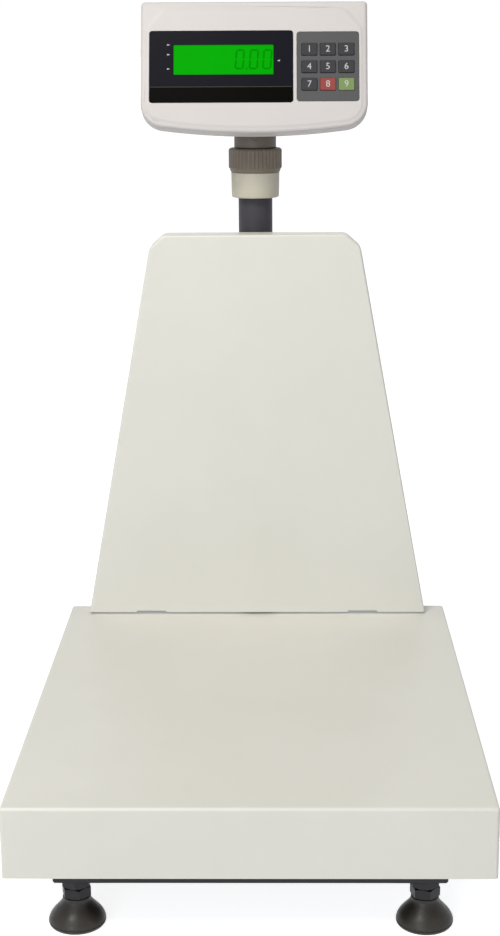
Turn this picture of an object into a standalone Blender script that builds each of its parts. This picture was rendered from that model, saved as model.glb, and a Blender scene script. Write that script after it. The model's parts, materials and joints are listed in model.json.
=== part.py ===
"""Bench platform scale with a folded steel platter, a back shield and an indicator on a column.

Metres, +Z up. The front of the scale faces -Y. The floor is at z = 0, and the origin lies under
the middle of the scale's overall box.
"""
from math import atan2, cos, pi, radians, sin, sqrt

import bmesh
import bpy
from mathutils import Matrix, Vector

# Clearance between pieces that touch
FIT = 0.0003

# Levelling feet
FOOT_HEIGHT = 0.0434
FOOT_RIM_RADIUS = 0.0238
FOOT_NECK_RADIUS = 0.0117
FOOT_BELL_HEIGHT = 0.025
FOOT_INSET = 0.0175
FOOT_TRAVEL = 0.012
STUD_RADIUS = 0.006
STUD_REACH = 0.020
STUD_PEG_DEPTH = 0.012
HEX_ACROSS_FLATS = 0.022
LOCK_NUT_HEIGHT = 0.0088

# Base frame, welded from square bar
FRAME_SIDE_INSET = 0.038
FRAME_END_INSET = 0.020
RAIL = 0.025
SPINE_WIDTH = 0.064
SPINE_WALL = 0.005
SPINE_FLOOR = 0.006
RAIL_CHAMFER = 0.0015
RAIL_WALL = 0.0025

# Single-point load cell and its spacers
CELL_LENGTH = 0.150
CELL_WIDTH = 0.040
CELL_HEIGHT = 0.038
CELL_SEAT = 0.042
CELL_BORE_RADIUS = 0.0125
CELL_BORE_PITCH = 0.040
LOWER_SPACER = 0.006
UPPER_SPACER = 0.004

# Upper frame, its rubber pads and the overload stops
UPPER_RAIL_WIDTH = 0.030
UPPER_RAIL_HEIGHT = 0.015
UPPER_BEAM_WIDTH = 0.080
UPPER_END_INSET = 0.012
PAD_RADIUS = 0.014
PAD_HEIGHT = 0.0043
PAD_END_DISTANCE = 0.024
STOP_SHANK_RADIUS = 0.005
STOP_NUT_ACROSS = 0.017
STOP_NUT_HEIGHT = 0.0065
STOP_END_DISTANCE = 0.052
STOP_SINK = 0.010
OVERLOAD_GAP = 0.0010

# Folded platter
PLATTER_WIDTH = 0.400
PLATTER_DEPTH = 0.500
PLATTER_LIP = 0.0616
PLATTER_SHEET = 0.0015
PLATTER_FOLD = 0.0030

# Column and its bracket
COLUMN_RADIUS = 0.0175
COLUMN_WALL = 0.0020
COLUMN_SHOWING = 0.033
SOCKET_WALL = 0.0037
SOCKET_HEIGHT = 0.062
SOCKET_CLEARANCE = 0.0035
BRACKET_WIDTH = 0.100
BRACKET_PLATE = 0.006
BRACKET_TAIL = 0.004
GUSSET_HEIGHT = 0.036
BOLT_RADIUS = 0.004
BOLT_HEAD_ACROSS = 0.013
BOLT_HEAD_HEIGHT = 0.0053
BRACKET_BOLT_SPREAD = 0.070
BRACKET_BOLT_REACH = 0.014
BRACKET_BOLT_HEIGHT = 0.0165
BRACKET_FOLD = 0.0025
CABLE_HOLE_RADIUS = 0.006
CABLE_HOLE_ABOVE_SOCKET = 0.020

# Back shield and its clamps
SHIELD_OVERHANG = 0.030
SHIELD_GAP = 0.0025
SHIELD_HEIGHT = 0.3995
SHIELD_BOTTOM_WIDTH = 0.356
SHIELD_SHOULDER_WIDTH = 0.2134
SHIELD_TOP_WIDTH = 0.184
SHIELD_SHOULDER_DROP = 0.013
SHIELD_CORNER_RADIUS = 0.010
SHIELD_FLANGE = 0.024
SHIELD_SHEET = 0.0012
SHIELD_FOLD = 0.0020
NOTCH_WIDTH = 0.031
NOTCH_DEPTH = 0.0016
NOTCH_OFFSET = 0.112
CLAMP_HEIGHT = 0.030
CLAMP_STRIP = 0.003
CLAMP_FOOT = 0.024
CLAMP_LOW = 0.080
CLAMP_SPACING = 0.220
CLAMP_BOLT_RADIUS = 0.003
CLAMP_BOLT_HEAD_ACROSS = 0.010
CLAMP_BOLT_HEAD_HEIGHT = 0.004

# Column head: socket, locking collar and swivel neck
SKIRT_RADIUS = 0.0248
SKIRT_HEIGHT = 0.0255
SKIRT_LEDGE = 0.004
SPIGOT_WALL = 0.0065
SPIGOT_HEIGHT = 0.0200
SPIGOT_SLOT = 0.0020
SPIGOT_SLOTS = 4
COLLAR_RADIUS = 0.0273
COLLAR_HEIGHT = 0.0240
COLLAR_WEB = 0.0035
COLLAR_RIDGES = 40
COLLAR_RIDGE_DEPTH = 0.0008
COLLAR_TAPER = 0.0040
STEM_RADIUS = 0.0135
STEM_BORE_RADIUS = 0.005
STEM_REACH = 0.0220
NECK_RADIUS = 0.0215
NECK_HEIGHT = 0.0130
PIN_ABOVE_COLLAR = 0.030
PIN_RADIUS = 0.004
KNUCKLE_RADIUS = 0.011
KNUCKLE_WEB = 0.016

# Indicator head, measured from the tilt pin in the head's own frame: X, inwards and up the face
HEAD_TILT = 20.0
FACE_TO_PIN = 0.058
FACE_CENTRE_ABOVE_PIN = 0.030
HEAD_WIDTH = 0.2245
HEAD_ABOVE_CENTRE = 0.0709
HEAD_BELOW_CENTRE = 0.0631
HEAD_BOW = 0.0062
HEAD_TOP_RADIUS = 0.004
HEAD_BOTTOM_RADIUS = 0.024
HEAD_WALL = 0.0022
FACE_WALL = 0.0036
FRONT_DEPTH = 0.015
FRONT_EDGE = 0.003
FIELD_HEIGHT = 0.0008
FIELD_MARGIN = 0.0055
FIELD_RADIUS = 0.018
REAR_REACH = 0.014
REAR_SIDE_SLOPE = 0.03025
REAR_ABOVE_PIN = 0.066
REAR_BELOW_PIN = 0.015
REAR_RADIUS = 0.010
HINGE_RECESS_WIDTH = 0.048
HINGE_RECESS_FRONT = 0.028
HINGE_RECESS_TOP = 0.014
HINGE_WALL = 0.003
PIN_BOSS_RADIUS = 0.008
PIN_BOSS_LENGTH = 0.004

# Display, keypad and the parts behind them, placed from the face's centre
OVERLAY_RECESS = 0.0018
OVERLAY_SHEET = 0.0013
OVERLAY_SIDE_MARGIN = 0.0083
OVERLAY_SPACING = 0.0031
DISPLAY_HEIGHT = 0.0736
DISPLAY_UP = 0.0036
GLASS_BORDER = 0.0218
GLASS_HEIGHT = 0.0316
GLASS_OFFSET = 0.0023
GLASS_UP = 0.0108
GLASS_MARGIN = 0.003
MODULE_BORDER = 0.006
KEYPAD_WIDTH = 0.0620
KEYPAD_HEIGHT = 0.0712
KEYPAD_UP = 0.0034
KEYPAD_LEDGE = 0.003
KEY_WIDTH = 0.0154
KEY_HEIGHT = 0.0124
KEY_PITCH_X = 0.0183
KEY_PITCH_UP = 0.0178
KEY_GRID_UP = 0.0030
KEY_PROUD = 0.0009
KEY_RIM = 0.0007
KEY_RIM_THICKNESS = 0.0010
KEY_TRAVEL = 0.0006
PCB_SHEET = 0.0016
BOARD_DEPTH = 0.0112
BOARD_SIDE_MARGIN = 0.01725
BOARD_BELOW_CENTRE = 0.050
BOARD_ABOVE_CENTRE = 0.058
BOARD_BOSS_RADIUS = 0.004
BOARD_BOSS_INSET = 0.006
BATTERY_DEPTH = 0.024
BATTERY_HEIGHT = 0.043
BATTERY_END_GAP = 0.0037
SWITCH_SIDE_MARGIN = 0.022
SWITCH_ABOVE_PIN = 0.030
SWITCH_SIZE = (0.0156, 0.0130, 0.0236)
SWITCH_FLANGE = 0.0015
SWITCH_FLANGE_MARGIN = 0.0018
ROCKER_SIZE = (0.0110, 0.0180)
ROCKER_DEPTH = 0.0085
ROCKER_PROUD = 0.0022
ROCKER_ANGLE = 9.0
CHARGER_SIDE_MARGIN = 0.022
CHARGER_RADIUS = 0.0055
CHARGER_FLANGE_RADIUS = 0.0080
CHARGER_JACK_RADIUS = 0.0030
CHARGER_PIN_RADIUS = 0.0010
CHARGER_LENGTH = 0.012

# Heights above the floor
FRAME_TOP = FOOT_HEIGHT + RAIL
CELL_BOTTOM = FOOT_HEIGHT + SPINE_FLOOR + FIT + LOWER_SPACER + FIT
CELL_TOP = CELL_BOTTOM + CELL_HEIGHT
UPPER_FRAME_BOTTOM = CELL_TOP + FIT + UPPER_SPACER + FIT
UPPER_FRAME_TOP = UPPER_FRAME_BOTTOM + UPPER_RAIL_HEIGHT
PLATTER_UNDERSIDE = UPPER_FRAME_TOP + FIT + PAD_HEIGHT + FIT
PLATTER_TOP = PLATTER_UNDERSIDE + PLATTER_SHEET
SHIELD_BOTTOM = PLATTER_TOP + SHIELD_GAP
SHIELD_TOP = SHIELD_BOTTOM + SHIELD_HEIGHT
SOCKET_BOTTOM = FOOT_HEIGHT + BRACKET_PLATE
SOCKET_TOP = SOCKET_BOTTOM + SOCKET_HEIGHT
SKIRT_BOTTOM = SHIELD_TOP + COLUMN_SHOWING
SKIRT_TOP = SKIRT_BOTTOM + SKIRT_HEIGHT
COLLAR_BOTTOM = SKIRT_TOP + FIT
COLLAR_TOP = COLLAR_BOTTOM + COLLAR_HEIGHT
NECK_BOTTOM = COLLAR_TOP + FIT
PIN_HEIGHT = NECK_BOTTOM + PIN_ABOVE_COLLAR

# Plan sizes
FRAME_WIDTH = PLATTER_WIDTH - 2 * FRAME_SIDE_INSET
FRAME_DEPTH = PLATTER_DEPTH - 2 * FRAME_END_INSET
UPPER_DEPTH = FRAME_DEPTH - 2 * UPPER_END_INSET
SIDE_RAIL_X = FRAME_WIDTH / 2 - RAIL / 2
UPPER_WIDTH = 2 * SIDE_RAIL_X + UPPER_RAIL_WIDTH
SOCKET_RADIUS = COLUMN_RADIUS + FIT + SOCKET_WALL
COLUMN_Y = PLATTER_DEPTH / 2 + SOCKET_CLEARANCE + SOCKET_RADIUS
SHIELD_Y = PLATTER_DEPTH / 2 - SHIELD_OVERHANG
TILT = radians(HEAD_TILT)

# Across the head
DISPLAY_WIDTH = HEAD_WIDTH - 2 * OVERLAY_SIDE_MARGIN - OVERLAY_SPACING - KEYPAD_WIDTH
DISPLAY_X = (DISPLAY_WIDTH - HEAD_WIDTH) / 2 + OVERLAY_SIDE_MARGIN
KEYPAD_X = (HEAD_WIDTH - KEYPAD_WIDTH) / 2 - OVERLAY_SIDE_MARGIN
GLASS_WIDTH = DISPLAY_WIDTH - 2 * GLASS_BORDER
GLASS_X = DISPLAY_X + GLASS_OFFSET
BOARD_WIDTH = HEAD_WIDTH - 2 * BOARD_SIDE_MARGIN
REAR_WIDTH = HEAD_WIDTH - 2 * REAR_SIDE_SLOPE
SWITCH_X = REAR_WIDTH / 2 - SWITCH_SIDE_MARGIN
CHARGER_X = CHARGER_SIDE_MARGIN - REAR_WIDTH / 2
BATTERY_WIDTH = 2 * (SWITCH_X - SWITCH_SIZE[0] / 2 - BATTERY_END_GAP)

# The platter's middle lies in front of the origin, which is under the middle of the whole scale
REAR_END = COLUMN_Y + REAR_REACH * cos(TILT) + REAR_ABOVE_PIN * sin(TILT)
PLATTER_Y = (PLATTER_DEPTH / 2 - REAR_END) / 2


def clear_scene():
    for obj in list(bpy.data.objects):
        bpy.data.objects.remove(obj, do_unlink=True)


def new_collection(name):
    collection = bpy.data.collections.new(name)
    bpy.context.scene.collection.children.link(collection)
    return collection


def material(name, colour, roughness, metallic=0.0):
    made = bpy.data.materials.new(name)
    made.use_nodes = True
    shader = made.node_tree.nodes["Principled BSDF"]
    shader.inputs["Base Color"].default_value = (*colour, 1.0)
    shader.inputs["Roughness"].default_value = roughness
    shader.inputs["Metallic"].default_value = metallic
    made.diffuse_color = (*colour, 1.0)
    return made


clear_scene()
PARTS = new_collection("platform_scale")
CUTTERS = new_collection("cutters")

CREAM_PAINT = material("cream_paint", (0.70, 0.69, 0.61), 0.42)
FRAME_PAINT = material("frame_paint", (0.012, 0.012, 0.018), 0.45)
ZINC_STEEL = material("zinc_steel", (0.60, 0.60, 0.58), 0.35, 1.0)
DARK_STEEL = material("dark_steel", (0.030, 0.030, 0.034), 0.40, 0.6)
CELL_ALUMINIUM = material("cell_aluminium", (0.78, 0.79, 0.80), 0.30, 1.0)
BLACK_RUBBER = material("black_rubber", (0.022, 0.020, 0.018), 0.60)
COLUMN_PAINT = material("column_paint", (0.052, 0.050, 0.060), 0.35)
BEIGE_PLASTIC = material("beige_plastic", (0.47, 0.43, 0.35), 0.50)
NECK_PLASTIC = material("neck_plastic", (0.16, 0.135, 0.115), 0.50)
SHELL_PLASTIC = material("shell_plastic", (0.73, 0.69, 0.66), 0.45)
DISPLAY_BLACK = material("display_black", (0.012, 0.012, 0.018), 0.20)
LCD_GREEN = material("lcd_green", (0.003, 0.40, 0.003), 0.30)
KEYPAD_GREY = material("keypad_grey", (0.15, 0.15, 0.155), 0.45)
KEY_GREY = material("key_grey", (0.10, 0.10, 0.11), 0.45)
KEY_RED = material("key_red", (0.55, 0.06, 0.05), 0.45)
KEY_GREEN = material("key_green", (0.28, 0.42, 0.13), 0.45)
PCB_GREEN = material("pcb_green", (0.015, 0.12, 0.035), 0.50)
BATTERY_BLACK = material("battery_black", (0.02, 0.02, 0.02), 0.50)
SWITCH_BLACK = material("switch_black", (0.015, 0.015, 0.015), 0.40)


def empty(name, location, parent=None, tilt=0.0):
    """A frame that pieces hang from: on a joint's axis, or at a sub-assembly's origin."""
    frame = bpy.data.objects.new(name, None)
    frame.empty_display_size = 0.02
    frame.parent = parent
    frame.location = location
    frame.rotation_euler = (tilt, 0.0, 0.0)
    PARTS.objects.link(frame)
    return frame


def finish_part(obj, name, paint, parent=None, at=(0.0, 0.0, 0.0)):
    """Names a shape, gives it its material and hangs it in its place."""
    obj.name = name
    obj.data.name = name
    obj.data.materials.clear()
    obj.data.materials.append(paint)
    obj.parent = parent
    obj.location = at
    return obj


def object_from(bm, name="shape"):
    bmesh.ops.recalc_face_normals(bm, faces=bm.faces)
    mesh = bpy.data.meshes.new(name)
    bm.to_mesh(mesh)
    bm.free()
    obj = bpy.data.objects.new(name, mesh)
    PARTS.objects.link(obj)
    return obj


def smooth(obj, angle=35.0):
    obj.data.shade_smooth()
    obj.data.set_sharp_from_angle(angle=radians(angle))
    return obj


def helper(obj, piece):
    """Turns a shape, drawn in a piece's own frame, into a hidden operand of a Boolean."""
    obj.parent = piece.parent
    obj.location = piece.location
    obj.hide_render = True
    obj.display_type = "WIRE"
    PARTS.objects.unlink(obj)
    CUTTERS.objects.link(obj)
    return obj


def combine(obj, other, operation):
    helper(other, obj)
    step = obj.modifiers.new(operation.lower(), "BOOLEAN")
    step.operation = operation
    step.object = other
    return obj


def cut(obj, *cutters):
    for cutter in cutters:
        combine(obj, cutter, "DIFFERENCE")
    return obj


def join(obj, *others):
    for other in others:
        combine(obj, other, "UNION")
    return obj


def bevel(obj, width, segments=1, angle=40.0):
    step = obj.modifiers.new("edges", "BEVEL")
    step.width = width
    step.segments = segments
    step.limit_method = "ANGLE"
    step.angle_limit = radians(angle)
    return obj


def block(low, high):
    """A box between two corners."""
    bm = bmesh.new()
    bmesh.ops.create_cube(bm, size=1.0)
    low, high = Vector(low), Vector(high)
    middle = (low + high) / 2
    bmesh.ops.scale(bm, vec=high - low, verts=bm.verts)
    bmesh.ops.translate(bm, vec=middle, verts=bm.verts)
    return object_from(bm)


AXIS_TURN = {
    "X": Matrix.Rotation(pi / 2, 4, "Y"),
    "Y": Matrix.Rotation(-pi / 2, 4, "X"),
    "Z": Matrix.Identity(4),
}


def rod(radius, start, end, axis="Z", at=(0.0, 0.0, 0.0), sides=24, turn=0.0):
    """A cylinder, or with few sides a hexagon, from start to end along an axis through a point."""
    bm = bmesh.new()
    bmesh.ops.create_cone(
        bm, cap_ends=True, segments=sides, radius1=radius, radius2=radius, depth=end - start
    )
    bmesh.ops.rotate(bm, matrix=Matrix.Rotation(turn, 3, "Z"), verts=bm.verts)
    bmesh.ops.translate(bm, vec=(0.0, 0.0, (start + end) / 2), verts=bm.verts)
    bmesh.ops.transform(bm, matrix=Matrix.Translation(at) @ AXIS_TURN[axis], verts=bm.verts)
    return smooth(object_from(bm))


def hexagon(across_flats, start, end, axis="Z", at=(0.0, 0.0, 0.0), turn=0.0):
    return rod(across_flats / sqrt(3), start, end, axis, at, 6, turn)


def turned(profile, steps=32, bore=False, angle=35.0):
    """A turned shape from (radius, z) points that run down its outer side. With a bore they close."""
    bm = bmesh.new()
    points = [bm.verts.new((radius, 0.0, z)) for radius, z in profile]
    for a, b in zip(points, points[1:]):
        bm.edges.new((a, b))
    if bore:
        bm.edges.new((points[-1], points[0]))
    mesh = bpy.data.meshes.new("turned")
    bm.to_mesh(mesh)
    bm.free()
    obj = bpy.data.objects.new("turned", mesh)
    PARTS.objects.link(obj)
    step = obj.modifiers.new("turn", "SCREW")
    step.steps = steps
    step.render_steps = steps
    step.use_merge_vertices = True
    step.merge_threshold = 0.00001
    return applied(obj, angle)


def applied(obj, angle=35.0):
    """The object with its modifiers made real in its mesh, for a shape that is moved or cut later."""
    graph = bpy.context.evaluated_depsgraph_get()
    graph.update()
    mesh = bpy.data.meshes.new_from_object(obj.evaluated_get(graph))
    bm = bmesh.new()
    bm.from_mesh(mesh)
    bmesh.ops.remove_doubles(bm, verts=bm.verts, dist=0.000005)
    bmesh.ops.recalc_face_normals(bm, faces=bm.faces)
    bm.to_mesh(mesh)
    bm.free()
    result = bpy.data.objects.new(obj.name, mesh)
    PARTS.objects.link(result)
    result.matrix_world = obj.matrix_world
    bpy.data.objects.remove(obj, do_unlink=True)
    return smooth(result, angle)


# Where a drawing plane's first, second and normal directions point
PLANES = {
    "XY": Matrix(((1, 0, 0, 0), (0, 1, 0, 0), (0, 0, 1, 0), (0, 0, 0, 1))),
    "XZ": Matrix(((1, 0, 0, 0), (0, 0, -1, 0), (0, 1, 0, 0), (0, 0, 0, 1))),
    "YZ": Matrix(((0, 0, 1, 0), (1, 0, 0, 0), (0, 1, 0, 0), (0, 0, 0, 1))),
}


def prism(outlines, start, end, plane="XY"):
    """Flat outlines, the first outside and the rest holes, extruded along the plane's normal axis."""
    curve = bpy.data.curves.new("outline", "CURVE")
    curve.dimensions = "2D"
    curve.fill_mode = "BOTH"
    curve.extrude = (end - start) / 2
    for outline in outlines:
        spline = curve.splines.new("POLY")
        spline.points.add(len(outline) - 1)
        for point, (u, v) in zip(spline.points, outline):
            point.co = (u, v, 0.0, 1.0)
        spline.use_cyclic_u = True
    obj = bpy.data.objects.new("outline", curve)
    PARTS.objects.link(obj)
    solid = applied(obj)
    middle = (start + end) / 2 * (-1 if plane == "XZ" else 1)
    solid.data.transform(PLANES[plane] @ Matrix.Translation((0.0, 0.0, middle)))
    return solid


def rectangle(u0, v0, u1, v1):
    return [(u0, v0), (u1, v0), (u1, v1), (u0, v1)]


def arc(centre, radius, first, last, steps):
    """Points on an arc, angles in degrees, both ends included."""
    turns = [radians(first + (last - first) * i / steps) for i in range(steps + 1)]
    return [(centre[0] + radius * cos(t), centre[1] + radius * sin(t)) for t in turns]


def rounded_rectangle(u0, v0, u1, v1, radius, steps=3):
    return (
        arc((u1 - radius, v0 + radius), radius, -90, 0, steps)
        + arc((u1 - radius, v1 - radius), radius, 0, 90, steps)
        + arc((u0 + radius, v1 - radius), radius, 90, 180, steps)
        + arc((u0 + radius, v0 + radius), radius, 180, 270, steps)
    )


def ladder_bays(width, depth, rail, middle):
    """Four bays in a frame with side and end rails, a middle beam and one cross brace."""
    inner_x, outer_x = middle / 2, width / 2 - rail
    inner_y, outer_y = rail / 2, depth / 2 - rail
    bays = []
    for sx in (-1, 1):
        for sy in (-1, 1):
            xs = sorted((sx * inner_x, sx * outer_x))
            ys = sorted((sy * inner_y, sy * outer_y))
            bays.append((xs[0], ys[0], xs[1], ys[1]))
    return bays


def make_ladder(name, width, depth, rail, middle, low, high, body):
    """A welded frame with its bays open from top to bottom and its edges broken."""
    w, d = width / 2, depth / 2
    frame = block((-w, -d, low), (w, d, high))
    finish_part(frame, name, FRAME_PAINT, body)
    for x0, y0, x1, y1 in ladder_bays(width, depth, rail, middle):
        cut(frame, block((x0, y0, low - rail), (x1, y1, high + rail)))
    bevel(frame, RAIL_CHAMFER)
    return frame


def hollow_rails(frame, low, top, rails):
    """Opens the frame's rails from below, as folded channels. It leaves them solid at the fastenings."""
    for x0, y0, x1, y1 in rails:
        cut(frame, block((x0, y0, low), (x1, y1, top - RAIL_WALL)))


def both_sides(x0, y0, x1, y1, mirror_y=False):
    """A rectangle with its mirror image across the YZ plane, and across the XZ plane on request."""
    found = [(x0, y0, x1, y1), (-x1, y0, -x0, y1)]
    if mirror_y:
        found += [(a, -d, c, -b) for a, b, c, d in found]
    return found


CORNERS = {"fl": (-1, -1), "fr": (1, -1), "rl": (-1, 1), "rr": (1, 1)}


def foot_place(corner):
    sx, sy = CORNERS[corner]
    return (sx * (FRAME_WIDTH / 2 - FOOT_INSET), sy * (FRAME_DEPTH / 2 - FOOT_INSET))


def stop_place(corner):
    sx, sy = CORNERS[corner]
    return (sx * SIDE_RAIL_X, sy * (FRAME_DEPTH / 2 - STOP_END_DISTANCE))


def pad_place(corner):
    sx, sy = CORNERS[corner]
    return (sx * SIDE_RAIL_X, sy * (UPPER_DEPTH / 2 - PAD_END_DISTANCE))


def bracket_bolt_place(side):
    return (side * BRACKET_BOLT_SPREAD / 2, FOOT_HEIGHT + BRACKET_BOLT_HEIGHT)


def make_base_frame(base):
    w, d = FRAME_WIDTH / 2, FRAME_DEPTH / 2
    frame = make_ladder(
        "base_frame", FRAME_WIDTH, FRAME_DEPTH, RAIL, SPINE_WIDTH, FOOT_HEIGHT, FRAME_TOP, base
    )
    channel_x = SPINE_WIDTH / 2 - SPINE_WALL
    channel_y = d - RAIL - SPINE_WALL
    floor = FOOT_HEIGHT + SPINE_FLOOR
    cut(frame, block((-channel_x, -channel_y, floor), (channel_x, channel_y, FRAME_TOP + RAIL)))
    wall = RAIL_WALL
    spine = SPINE_WIDTH / 2
    side_end = d - STOP_END_DISTANCE - 2 * STOP_NUT_ACROSS / 2
    end_start, end_stop = BRACKET_BOLT_SPREAD / 2 + RAIL / 2, w - 2 * FOOT_INSET
    rails = both_sides(w - RAIL + wall, -side_end, w - wall, side_end)
    rails += both_sides(end_start, d - RAIL + wall, end_stop, d - wall, True)
    rails += both_sides(spine + wall, -RAIL / 2 + wall, w - RAIL - wall, RAIL / 2 - wall)
    hollow_rails(frame, 0.0, FRAME_TOP, rails)
    for corner in CORNERS:
        x, y = foot_place(corner)
        hole_top = FOOT_HEIGHT + STUD_REACH + FIT
        cut(frame, rod(STUD_RADIUS + FIT, 0.0, hole_top, "Z", (x, y, 0.0), 20))
        x, y = stop_place(corner)
        sink = FRAME_TOP - STOP_SINK - FIT
        cut(frame, rod(STOP_SHANK_RADIUS + FIT, sink, FRAME_TOP + RAIL, "Z", (x, y, 0.0), 16))
    for side in (-1, 1):
        x, z = bracket_bolt_place(side)
        depth = d - BRACKET_BOLT_REACH - FIT
        cut(frame, rod(BOLT_RADIUS + FIT, depth, d + RAIL, "Y", (x, 0.0, z), 16))
    return frame


def make_feet(base):
    hex_bottom = FOOT_BELL_HEIGHT + FIT
    nut_top = FOOT_HEIGHT - FIT
    nut_bottom = nut_top - LOCK_NUT_HEIGHT
    hex_top = nut_bottom - FIT
    peg_bottom = FOOT_BELL_HEIGHT - STUD_PEG_DEPTH
    rim, neck, height = FOOT_RIM_RADIUS, FOOT_NECK_RADIUS, FOOT_BELL_HEIGHT
    hole = STUD_RADIUS + FIT
    bell = [
        (hole, height),
        (neck - 0.0006, height),
        (neck, height - 0.0006),
        (neck + 0.0002, height * 0.90),
        (neck + (rim - neck) * 0.20, height * 0.76),
        (neck + (rim - neck) * 0.50, height * 0.63),
        (neck + (rim - neck) * 0.76, height * 0.48),
        (neck + (rim - neck) * 0.92, height * 0.32),
        (rim, height * 0.15),
        (rim - 0.0003, height * 0.05),
        (rim - 0.0012, 0.0),
        (0.0, 0.0),
        (0.0, peg_bottom - FIT),
        (hole, peg_bottom - FIT),
    ]
    for corner in CORNERS:
        x, y = foot_place(corner)
        foot = empty("foot_" + corner + "_axis", (x, y, 0.0), base)
        pad = turned(closed_profile(bell), 28, bore=True)
        finish_part(pad, "foot_pad_" + corner, BLACK_RUBBER, foot)
        stud = rod(STUD_RADIUS, peg_bottom, FOOT_HEIGHT + STUD_REACH, sides=16)
        finish_part(stud, "foot_stud_" + corner, DARK_STEEL, foot)
        join(stud, hexagon(HEX_ACROSS_FLATS, hex_bottom, hex_top, turn=radians(15)))
        nut = hexagon(HEX_ACROSS_FLATS, nut_bottom, nut_top)
        finish_part(nut, "foot_nut_" + corner, DARK_STEEL, base, (x, y, 0.0))
        cut(nut, rod(hole, 0.0, FOOT_HEIGHT * 2, sides=16))


def closed_profile(points):
    """The profile without repeats, for a closed loop of edges."""
    return [p for i, p in enumerate(points) if i == 0 or p != points[i - 1]]


def make_load_cell(base):
    w, l = CELL_WIDTH / 2, CELL_LENGTH / 2
    seat = CELL_SEAT
    floor = FOOT_HEIGHT + SPINE_FLOOR + FIT
    spacer = block((-w, -l, floor), (w, -l + seat, floor + LOWER_SPACER))
    finish_part(spacer, "cell_spacer_lower", ZINC_STEEL, base)
    cell = block((-w, -l, CELL_BOTTOM), (w, l, CELL_TOP))
    finish_part(cell, "load_cell", CELL_ALUMINIUM, base)
    bevel(cell, RAIL_CHAMFER / 2)
    middle = (CELL_BOTTOM + CELL_TOP) / 2
    for side in (-1, 1):
        at = (0.0, side * CELL_BORE_PITCH / 2, middle)
        cut(cell, rod(CELL_BORE_RADIUS, -CELL_WIDTH, CELL_WIDTH, "X", at, 24))
    half = CELL_BORE_PITCH / 2
    slot = CELL_BORE_RADIUS * 0.6
    cut(cell, block((-CELL_WIDTH, -half, middle - slot), (CELL_WIDTH, half, middle + slot)))
    return cell


def make_weigh_platform(platform):
    """Everything that the load cell carries."""
    l = CELL_LENGTH / 2
    w = CELL_WIDTH / 2
    low = CELL_TOP + FIT
    spacer = block((-w, l - CELL_SEAT, low), (w, l, low + UPPER_SPACER))
    finish_part(spacer, "cell_spacer_upper", ZINC_STEEL, platform)

    uw, ud = UPPER_WIDTH / 2, UPPER_DEPTH / 2
    frame = make_ladder(
        "upper_frame", UPPER_WIDTH, UPPER_DEPTH, UPPER_RAIL_WIDTH, UPPER_BEAM_WIDTH,
        UPPER_FRAME_BOTTOM, UPPER_FRAME_TOP, platform,
    )
    wall, rail = RAIL_WALL, UPPER_RAIL_WIDTH
    side_end = FRAME_DEPTH / 2 - STOP_END_DISTANCE - STOP_NUT_ACROSS
    beam = UPPER_BEAM_WIDTH / 2 - wall
    rails = both_sides(uw - rail + wall, -side_end, uw - wall, side_end)
    rails += both_sides(beam + 2 * wall, ud - rail + wall, uw - rail - wall, ud - wall, True)
    rails += both_sides(beam + 2 * wall, -rail / 2 + wall, uw - rail - wall, rail / 2 - wall)
    rails.append((-beam, -ud + rail, beam, 0.0))
    rails.append((-beam, l + wall, beam, ud - rail))
    hollow_rails(frame, 0.0, UPPER_FRAME_TOP, rails)

    for corner in CORNERS:
        x, y = pad_place(corner)
        base_z = UPPER_FRAME_TOP + FIT
        pad = rod(PAD_RADIUS, base_z, base_z + PAD_HEIGHT, sides=24)
        finish_part(pad, "platter_pad_" + corner, BLACK_RUBBER, platform, (x, y, 0.0))

    px, py = PLATTER_WIDTH / 2, PLATTER_DEPTH / 2
    bm = bmesh.new()
    bmesh.ops.create_cube(bm, size=1.0)
    bmesh.ops.scale(bm, vec=(PLATTER_WIDTH, PLATTER_DEPTH, PLATTER_LIP), verts=bm.verts)
    bmesh.ops.translate(bm, vec=(0.0, 0.0, PLATTER_TOP - PLATTER_LIP / 2), verts=bm.verts)
    bm.normal_update()
    bottom = [face for face in bm.faces if face.normal.z < -0.5]
    bmesh.ops.delete(bm, geom=bottom, context="FACES_ONLY")
    platter = object_from(bm)
    finish_part(platter, "platter", CREAM_PAINT, platform)
    bevel(platter, PLATTER_FOLD, 3)
    sheet = platter.modifiers.new("sheet", "SOLIDIFY")
    sheet.thickness = PLATTER_SHEET
    sheet.offset = -1.0
    sheet.use_even_offset = True
    smooth(platter)
    return px, py


def make_overload_stops(base):
    low = FRAME_TOP + FIT
    top = UPPER_FRAME_BOTTOM - OVERLOAD_GAP
    for corner in CORNERS:
        x, y = stop_place(corner)
        screw = rod(STOP_SHANK_RADIUS, FRAME_TOP - STOP_SINK, top, sides=16)
        finish_part(screw, "overload_stop_" + corner, ZINC_STEEL, base, (x, y, 0.0))
        join(screw, hexagon(STOP_NUT_ACROSS, low, low + STOP_NUT_HEIGHT))


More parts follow.
